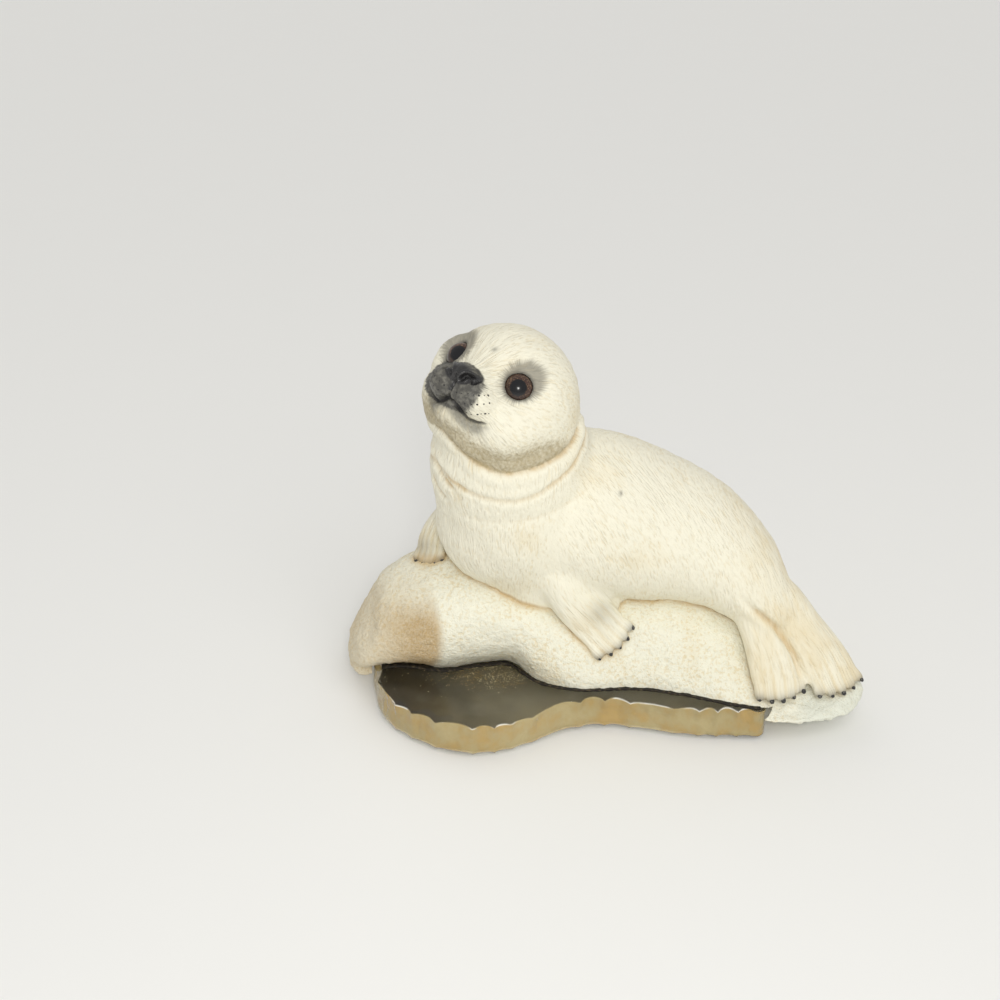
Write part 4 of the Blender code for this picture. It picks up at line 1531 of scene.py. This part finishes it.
    def eye_patches(
        self, s: Shader, at: Wire, ahead: Wire, left: Wire, up: Wire, hair: Wire
    ) -> tuple[Wire, Wire]:
        """The soft grey round each eye, with a fringe of hairs that point away from it.

        Args:
            s: The shader.
            at: The point of the surface.
            ahead: How far forward it lies in the head.
            left: How far left.
            up: How far up.
            hair: The noise of the strokes.

        Returns:
            The share of grey of the patches, and of the dark line round the glass.
        """
        patches, rims = [], []
        for side, middle, half in ((1, 12.3, 5.2), (-1, -12.4, 8.2)):
            off = s.node("ShaderNodeCombineXYZ", {}, {0: left - middle, 1: up - 5.6})
            spoke = s.vectors("NORMALIZE", Wire(s, off.outputs[0]))
            comb = s.noise(spoke, 16.0, 1.0) - 0.5
            wide = self.squared(s, (left - middle) / half, 2.0)
            tall = self.squared(s, (up - 6.9) / 7.0, 2.0)
            edge = s.step(wide + tall + comb * 0.75 + (hair - 0.5) * 0.3, 1.25, 0.5)
            patches.append(edge * s.step(ahead, 1.0 + 1.5 * side, 4.5 + 2.5 * side))
            centre = tuple(HEAD.eye_at(side))
            away = s.vectors("DISTANCE", at, centre) * (1 / MM)
            rims.append(s.step(away, HEAD.eye_radius + 1.3, HEAD.eye_radius + 0.2))
        patch = s.maths("MAXIMUM", patches[0], patches[1])
        rim = s.maths("MAXIMUM", rims[0], rims[1])
        return patch * (0.52 + hair * 0.4), rim * 0.5


@dataclass(frozen=True)
class PaintedSnow:
    """The snow's paint: cream white, tan in its hollows, a brown blush at the left end, and ochre painted
    shade under the pup.
    """

    white: Colour = linear(240, 238, 220)
    tan: Colour = linear(224, 207, 166)
    stain: Colour = linear(178, 146, 92)
    shade_ochre: Colour = linear(206, 176, 118)
    cool: Colour = linear(226, 229, 216)

    def material(self) -> Any:
        """The material of the snow bank."""
        s = Shader("painted_snow")
        at = s.place()
        x, y, z = (part * (1 / MM) for part in s.split(at))
        grain = s.noise(at, 1700.0, 2.0, 0.6)
        warp = s.noise(at, 1000.0, 2.0, 0.6)
        worm = s.step(warp, 0.52, 0.34)
        patches = s.noise(at, 70.0, 2.0)
        broken = s.step(patches, 0.36, 0.62)
        colour = s.mix(worm * (0.3 + broken * 0.32), self.white, self.tan)
        colour = s.mix(s.step(patches, 0.48, 0.8) * 0.3, colour, self.tan)
        bulge = (z - 25.0) * (z - 25.0) * 0.018
        edge = s.step(x + bulge + (grain - 0.5) * 1.8, -48.0, -52.0) * s.step(y, 16.0, 2.0)
        near_edge = 0.5 + s.step(x, -74.0, -56.0) * 0.5
        low = 0.14 + s.step(z + (patches - 0.5) * 9.0, 38.0, 29.0) * 0.86
        colour = s.mix(edge * near_edge * low * (0.42 + grain * 0.72), colour, self.stain)
        colour = s.mix(s.step(x - z * 0.3, 50.0, 58.0) * 0.75, colour, self.cool)
        # ochre painted shade where the pup touches the snow
        colour = s.mix(s.painted("contact_shade") * (0.25 + broken * 0.4), colour, self.shade_ochre)
        height = warp * 0.9 + grain * 0.4
        return s.done(s.surface(
            Base_Color=colour, Roughness=0.62 + grain * 0.1, Normal=s.bump(height, 0.62 * MM),
            Specular_IOR_Level=0.4,
        ))


@dataclass(frozen=True)
class ShadowLineBead:
    """The dark bead of painted shadow under the snow's edge, mottled and rough."""

    black: Colour = linear(34, 29, 22)
    speckle_and_painted_light: Colour = linear(84, 74, 54)

    def material(self) -> Any:
        """The material of the bead of painted shadow."""
        s = Shader("dark_glue")
        lumps = s.noise(s.place(), 900.0, 3.0)
        colour = s.mix(s.step(lumps, 0.5, 0.72), self.black, self.speckle_and_painted_light)
        return s.done(s.surface(Base_Color=colour, Roughness=0.7, Normal=s.bump(lumps, 0.4 * MM)))


@dataclass(frozen=True)
class Glitter:
    """Pale gold flakes."""

    pale: Colour = linear(226, 208, 160)
    gold: Colour = linear(176, 148, 94)

    def material(self) -> Any:
        """The material of the flakes."""
        s = Shader("gold_flakes")
        tone = s.noise(s.place(), 300.0)
        colour = s.mix(s.step(tone, 0.4, 0.6), self.pale, self.gold)
        return s.done(s.surface(Base_Color=colour, Roughness=0.3 + tone * 0.1, Metallic=0.2))


@dataclass(frozen=True)
class BlackPaint:
    """The satin black of nails and whisker marks."""

    black: Colour = linear(44, 43, 44)
    grey: Colour = linear(104, 102, 96)

    def material(self) -> Any:
        """The material of nails and whisker marks."""
        s = Shader("black_paint")
        wear = s.noise(s.place(), 1400.0, 2.0)
        colour = s.mix(s.step(wear, 0.48, 0.7), self.black, self.grey)
        return s.done(s.surface(Base_Color=colour, Roughness=0.42, Normal=s.bump(wear, 0.1 * MM)))


@dataclass(frozen=True)
class BrownGlass:
    """A brown glass eye with a black pupil and gold flecks, seen along its own gaze, and painted shade low
    in its iris.
    """

    brown: Colour = linear(70, 46, 37)
    dark: Colour = linear(38, 22, 19)
    gold: Colour = linear(158, 128, 96)
    pupil: Colour = linear(12, 13, 18)
    pupil_size: float = 0.54
    rim_size: float = 0.9

    def material(self, name: str, centre: Vector, gaze: Vector, radius: float) -> Any:
        """The material of one eye.

        Args:
            name: The material's name.
            centre: The middle of the ball, in metres.
            gaze: The direction that it looks in.
            radius: The ball's radius, in metres.

        Returns:
            The material.
        """
        s = Shader(name)
        off = s.vectors("SUBTRACT", s.place(), tuple(centre))
        along = s.vectors("DOT_PRODUCT", off, tuple(gaze)) / radius
        out = s.maths("SQRT", s.maths("MAXIMUM", 1.0 - along * along, 0.0))
        front = s.step(along, -0.05, 0.05)
        fleck = s.step(s.noise(s.place(), 2100.0, 2.0, 0.7), 0.5, 0.66)
        rays = s.noise(s.place(), 800.0, 2.0)
        iris = s.mix(s.step(rays, 0.35, 0.7) * 0.6, self.brown, self.dark)
        iris = s.mix(fleck * s.step(out, 0.96, 0.75) * 0.6, iris, self.gold)
        # painted shade: the iris is darker towards its bottom
        rise = s.vectors("DOT_PRODUCT", off, tuple(HEAD.axes()[2])) / radius
        iris = s.mix(s.step(rise, 0.35, -0.6) * 0.75, iris, self.dark)
        colour = s.mix(s.step(out, self.pupil_size + 0.06, self.pupil_size - 0.05), iris, self.pupil)
        colour = s.mix(s.step(out, self.rim_size - 0.06, self.rim_size + 0.05), colour, self.dark)
        colour = s.mix(front, self.dark, colour)
        return s.done(s.surface(
            Base_Color=colour, Roughness=0.4, Coat_Weight=1.0, Coat_Roughness=0.2,
            Specular_IOR_Level=0.05,
        ))


@dataclass(frozen=True)
class AmberIce:
    """Yellowed clear resin: cloudy sides, a pale upper edge with a painted highlight, and the felt seen in
    its bottom with painted light.
    """

    clear: Colour = linear(249, 244, 228)
    cloud: Colour = linear(248, 226, 162)
    deep: Colour = linear(210, 176, 104)
    highlight_white: Colour = linear(255, 252, 238)
    felt_dark: Colour = linear(60, 54, 43)
    felt_painted_light: Colour = linear(168, 163, 142)

    def material(self) -> Any:
        """The material of the slab."""
        s = Shader("amber_ice")
        at = s.place()
        z = s.split(at)[2] * (1 / MM)
        swirl = s.noise(at, 110.0, 3.0, 0.6)
        grain = s.noise(at, 420.0, 2.0)
        side = s.step(z, SLAB_TOP - 0.02, SLAB_TOP - 0.45)
        side = side * s.step(z, SLAB_BOTTOM + 0.02, SLAB_BOTTOM + 0.15)
        felt = s.step(s.painted("on_felt"), 0.96, 0.99)
        along = s.vectors("DOT_PRODUCT", at, (1.0, 0.0, 0.0))
        # painted light: the felt seen in the bottom is paler towards the right, where the slab's top shows
        # lighter
        pale = s.step(along + (swirl - 0.5) * 0.02, -0.07, -0.02) * (0.6 + swirl * 0.3)
        under = s.mix(pale, self.felt_dark, self.felt_painted_light)
        # painted highlight: near-white patches along the slab's upper edge
        edge_highlight = s.step(z, SLAB_TOP - 0.75, SLAB_TOP - 0.35)
        edge_highlight = edge_highlight * s.step(s.noise(at, 120.0, 2.0), 0.46, 0.58)
        normal = s.bump(grain * side, 0.7 * MM, 0.6)
        glass = s.surface(
            Base_Color=self.clear, Roughness=0.05 + side * 0.12, Transmission_Weight=1.0, IOR=1.46,
            Normal=normal,
        )
        amber = s.mix(s.step(swirl, 0.36, 0.64), self.cloud, self.deep)
        amber = s.mix(edge_highlight, amber, self.highlight_white)
        milk = s.surface(
            Base_Color=s.mix(felt, amber, under), Roughness=0.22 + felt * 0.6,
            Coat_Weight=1.0 - felt, Coat_Roughness=0.04, Normal=normal,
        )
        share = side * (0.42 + s.step(swirl, 0.4, 0.7) * 0.24 + edge_highlight * 0.3) + 0.01
        share = s.maths("MAXIMUM", share, felt)
        both = s.node("ShaderNodeMixShader", {}, {0: share, 1: glass, 2: milk})
        return s.done(both.outputs[0])


@dataclass(frozen=True)
class DarkFelt:
    """The dark pad under the slab, paler towards the right with painted light."""

    dark: Colour = linear(34, 31, 26)
    speckle_and_painted_light: Colour = linear(132, 129, 112)

    def material(self) -> Any:
        """The material of the pad."""
        s = Shader("dark_felt")
        at = s.place()
        fibre = s.noise(at, 1500.0, 3.0, 0.7)
        cloud = s.noise(at, 38.0, 2.0)
        along = s.vectors("DOT_PRODUCT", at, (1.0, 0.0, 0.0))
        # painted light: the pad is paler towards the right, where the slab's top shows lighter; paler
        # fibres fleck it all over
        pale = s.step(along + (cloud - 0.5) * 0.05, -0.062, -0.03) * (0.35 + cloud * 0.7)
        colour = s.mix(pale + s.step(fibre, 0.6, 0.8) * 0.12, self.dark, self.speckle_and_painted_light)
        return s.done(s.surface(
            Base_Color=colour, Roughness=0.95, Sheen_Weight=0.2, Normal=s.bump(fibre, 0.2 * MM, 0.8),
        ))


class Studio:
    """The pale floor, the soft lights and the camera of the photograph."""

    camera_at: tuple[float, float, float] = (-32.4, -415.69, 303.0)
    tilt: float = 60.0
    lens: float = 57.6
    lamp_target: tuple[float, float, float] = (-10, 0, 50)
    floor_half: float = 4.0
    floor_gap: float = 0.0002

    def build(self) -> None:
        """Sets up the floor, the world, the lamps and the camera."""
        scene = bpy.context.scene
        scene.view_settings.view_transform = "Standard"
        bm = bmesh.new()
        bmesh.ops.create_grid(bm, x_segments=2, y_segments=2, size=self.floor_half)
        floor = Clay.from_bmesh("floor", bm)
        s = Shader("pale_floor")
        weave = s.noise(s.place(), 40.0, 2.0)
        tone = s.mix(weave * 0.06, linear(240, 240, 238), linear(228, 228, 226))
        floor.data.materials.append(s.done(s.surface(Base_Color=tone, Roughness=0.85)))
        floor.location.z = -self.floor_gap
        self.light_world(scene)
        self.sun("key", (0.28, -0.66, 0.9), 55.0, 0.95, (1.0, 0.99, 0.96))
        self.sun("back", (-0.5, 0.8, 0.8), 60.0, 0.35, (1.0, 1.0, 1.0))
        self.lamp("front", (-10, -470, 360), 95, 0.8, (1.0, 0.985, 0.95))
        camera = bpy.data.cameras.new("camera")
        camera.lens = self.lens
        camera.clip_start = 0.01
        holder = bpy.data.objects.new("camera", camera)
        holder.location = Vector(self.camera_at) * MM
        holder.rotation_euler = (math.radians(self.tilt), 0, 0)
        scene.collection.objects.link(holder)
        scene.camera = holder

    @staticmethod
    def light_world(scene: Any) -> None:
        """A soft white sky, plain white where the camera sees it."""
        world = bpy.data.worlds.new("studio")
        world.use_nodes = True
        world.node_tree.nodes.clear()
        g = Graph(world.node_tree)
        path = g.node("ShaderNodeLightPath")
        soft = g.node("ShaderNodeBackground", {}, {"Color": (1.0, 0.99, 0.97), "Strength": 0.5})
        white = g.node("ShaderNodeBackground", {}, {"Color": (1.0, 1.0, 1.0), "Strength": 1.0})
        both = g.node("ShaderNodeMixShader", {}, {
            0: path.outputs["Is Camera Ray"], 1: soft.outputs[0], 2: white.outputs[0]})
        g.node("ShaderNodeOutputWorld", {}, {"Surface": both.outputs[0]})
        scene.world = world

    @staticmethod
    def hang(light: Any, power: float, colour: Colour, aim: Vector) -> Any:
        """Hangs up a light.

        Args:
            light: The light.
            power: Its strength.
            colour: Its colour.
            aim: The direction that it shines in.

        Returns:
            The object that holds it.
        """
        light.energy = power
        light.color = colour
        holder = bpy.data.objects.new(light.name, light)
        holder.rotation_euler = aim.to_track_quat("-Z", "Y").to_euler()
        bpy.context.scene.collection.objects.link(holder)
        return holder

    def sun(self, name: str, towards: Sequence[float], width: float, power: float, colour: Colour) -> None:
        """A wide soft light from far away.

        Args:
            name: Its name.
            towards: The direction that it comes from.
            width: How wide it looks, in degrees.
            power: Its strength.
            colour: Its colour.
        """
        light = bpy.data.lights.new(name, "SUN")
        light.angle = math.radians(width)
        self.hang(light, power, colour, -Vector(towards)).visible_glossy = False

    def lamp(self, name: str, at: Sequence[float], size: float, power: float, colour: Colour) -> None:
        """A round soft lamp that faces the figurine.

        Args:
            name: Its name.
            at: Where it stands, in millimetres.
            size: How wide it is, in millimetres.
            power: Its power in watts.
            colour: Its colour.
        """
        light = bpy.data.lights.new(name, "AREA")
        light.shape = "DISK"
        light.size = size * MM
        aim = (Vector(self.lamp_target) - Vector(at)) * MM
        self.hang(light, power, colour, aim).location = Vector(at) * MM


@dataclass
class Figurine:
    """The whole figurine: builds each piece and dresses it."""

    pup: SealPup = field(default_factory=SealPup)
    snow: SnowBank = field(default_factory=SnowBank)
    slab: IceSlab = field(default_factory=IceSlab)
    contact_ceiling: float = 55.0

    def build(self, nodes: dict[str, Any]) -> None:
        """Builds every piece.

        Args:
            nodes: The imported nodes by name.
        """
        seal = self.pup.build()
        bank = self.snow.build(seal)
        # the mask of the ochre painted shade on the pup where it touches the snow
        Clay.paint_contact(seal, bank, 1.8, self.contact_ceiling * MM)
        fit(seal, PaintedFur().material(), Slot.CASTING, ["pup_and_snow"])
        fit(bank, PaintedSnow().material(), Slot.CASTING, ["pup_and_snow"])
        black = BlackPaint().material()
        fit(self.pup.nails(black), black, Slot.CASTING)
        fit(self.pup.whisker_marks(seal, black), black, Slot.CASTING)
        # painted shadow: a dark bead that stands for the shadow line under the snow's edge
        fit(self.snow.shadow_line(bank), ShadowLineBead().material(), Slot.ICE_RESIN)
        flakes = Glitter().material()
        fit(self.slab.specks(flakes), flakes, Slot.ICE_RESIN)
        for name, side in (("left_eye", 1), ("right_eye", -1)):
            centre = HEAD.eye_at(side)
            radius = HEAD.eye_radius * MM
            aim = (0.84, 0.53, 0.05) if side > 0 else (0.92, 0.2, 0.1)
            gaze = Matrix(HEAD.axes()).transposed() @ Vector(aim).normalized()
            ball = Eye.ball(f"{name}_glass", centre, radius)
            fit(ball, BrownGlass().material(f"{name}_brown", centre, gaze, radius), Slot.EYE_GLASS, [name])
        fit(self.slab.build(), AmberIce().material(), Slot.ICE_RESIN, ["ice_slab"])
        pad = nodes["felt_pad"]
        pad.data.materials.clear()
        pad.data.materials.append(DarkFelt().material())


def main() -> None:
    """Builds the figurine and the studio."""
    logging.basicConfig(level=logging.INFO, format="%(name)s: %(message)s")
    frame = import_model()
    Studio().build()
    Figurine().build(frame["nodes"])


if __name__ == "__main__":
    main()
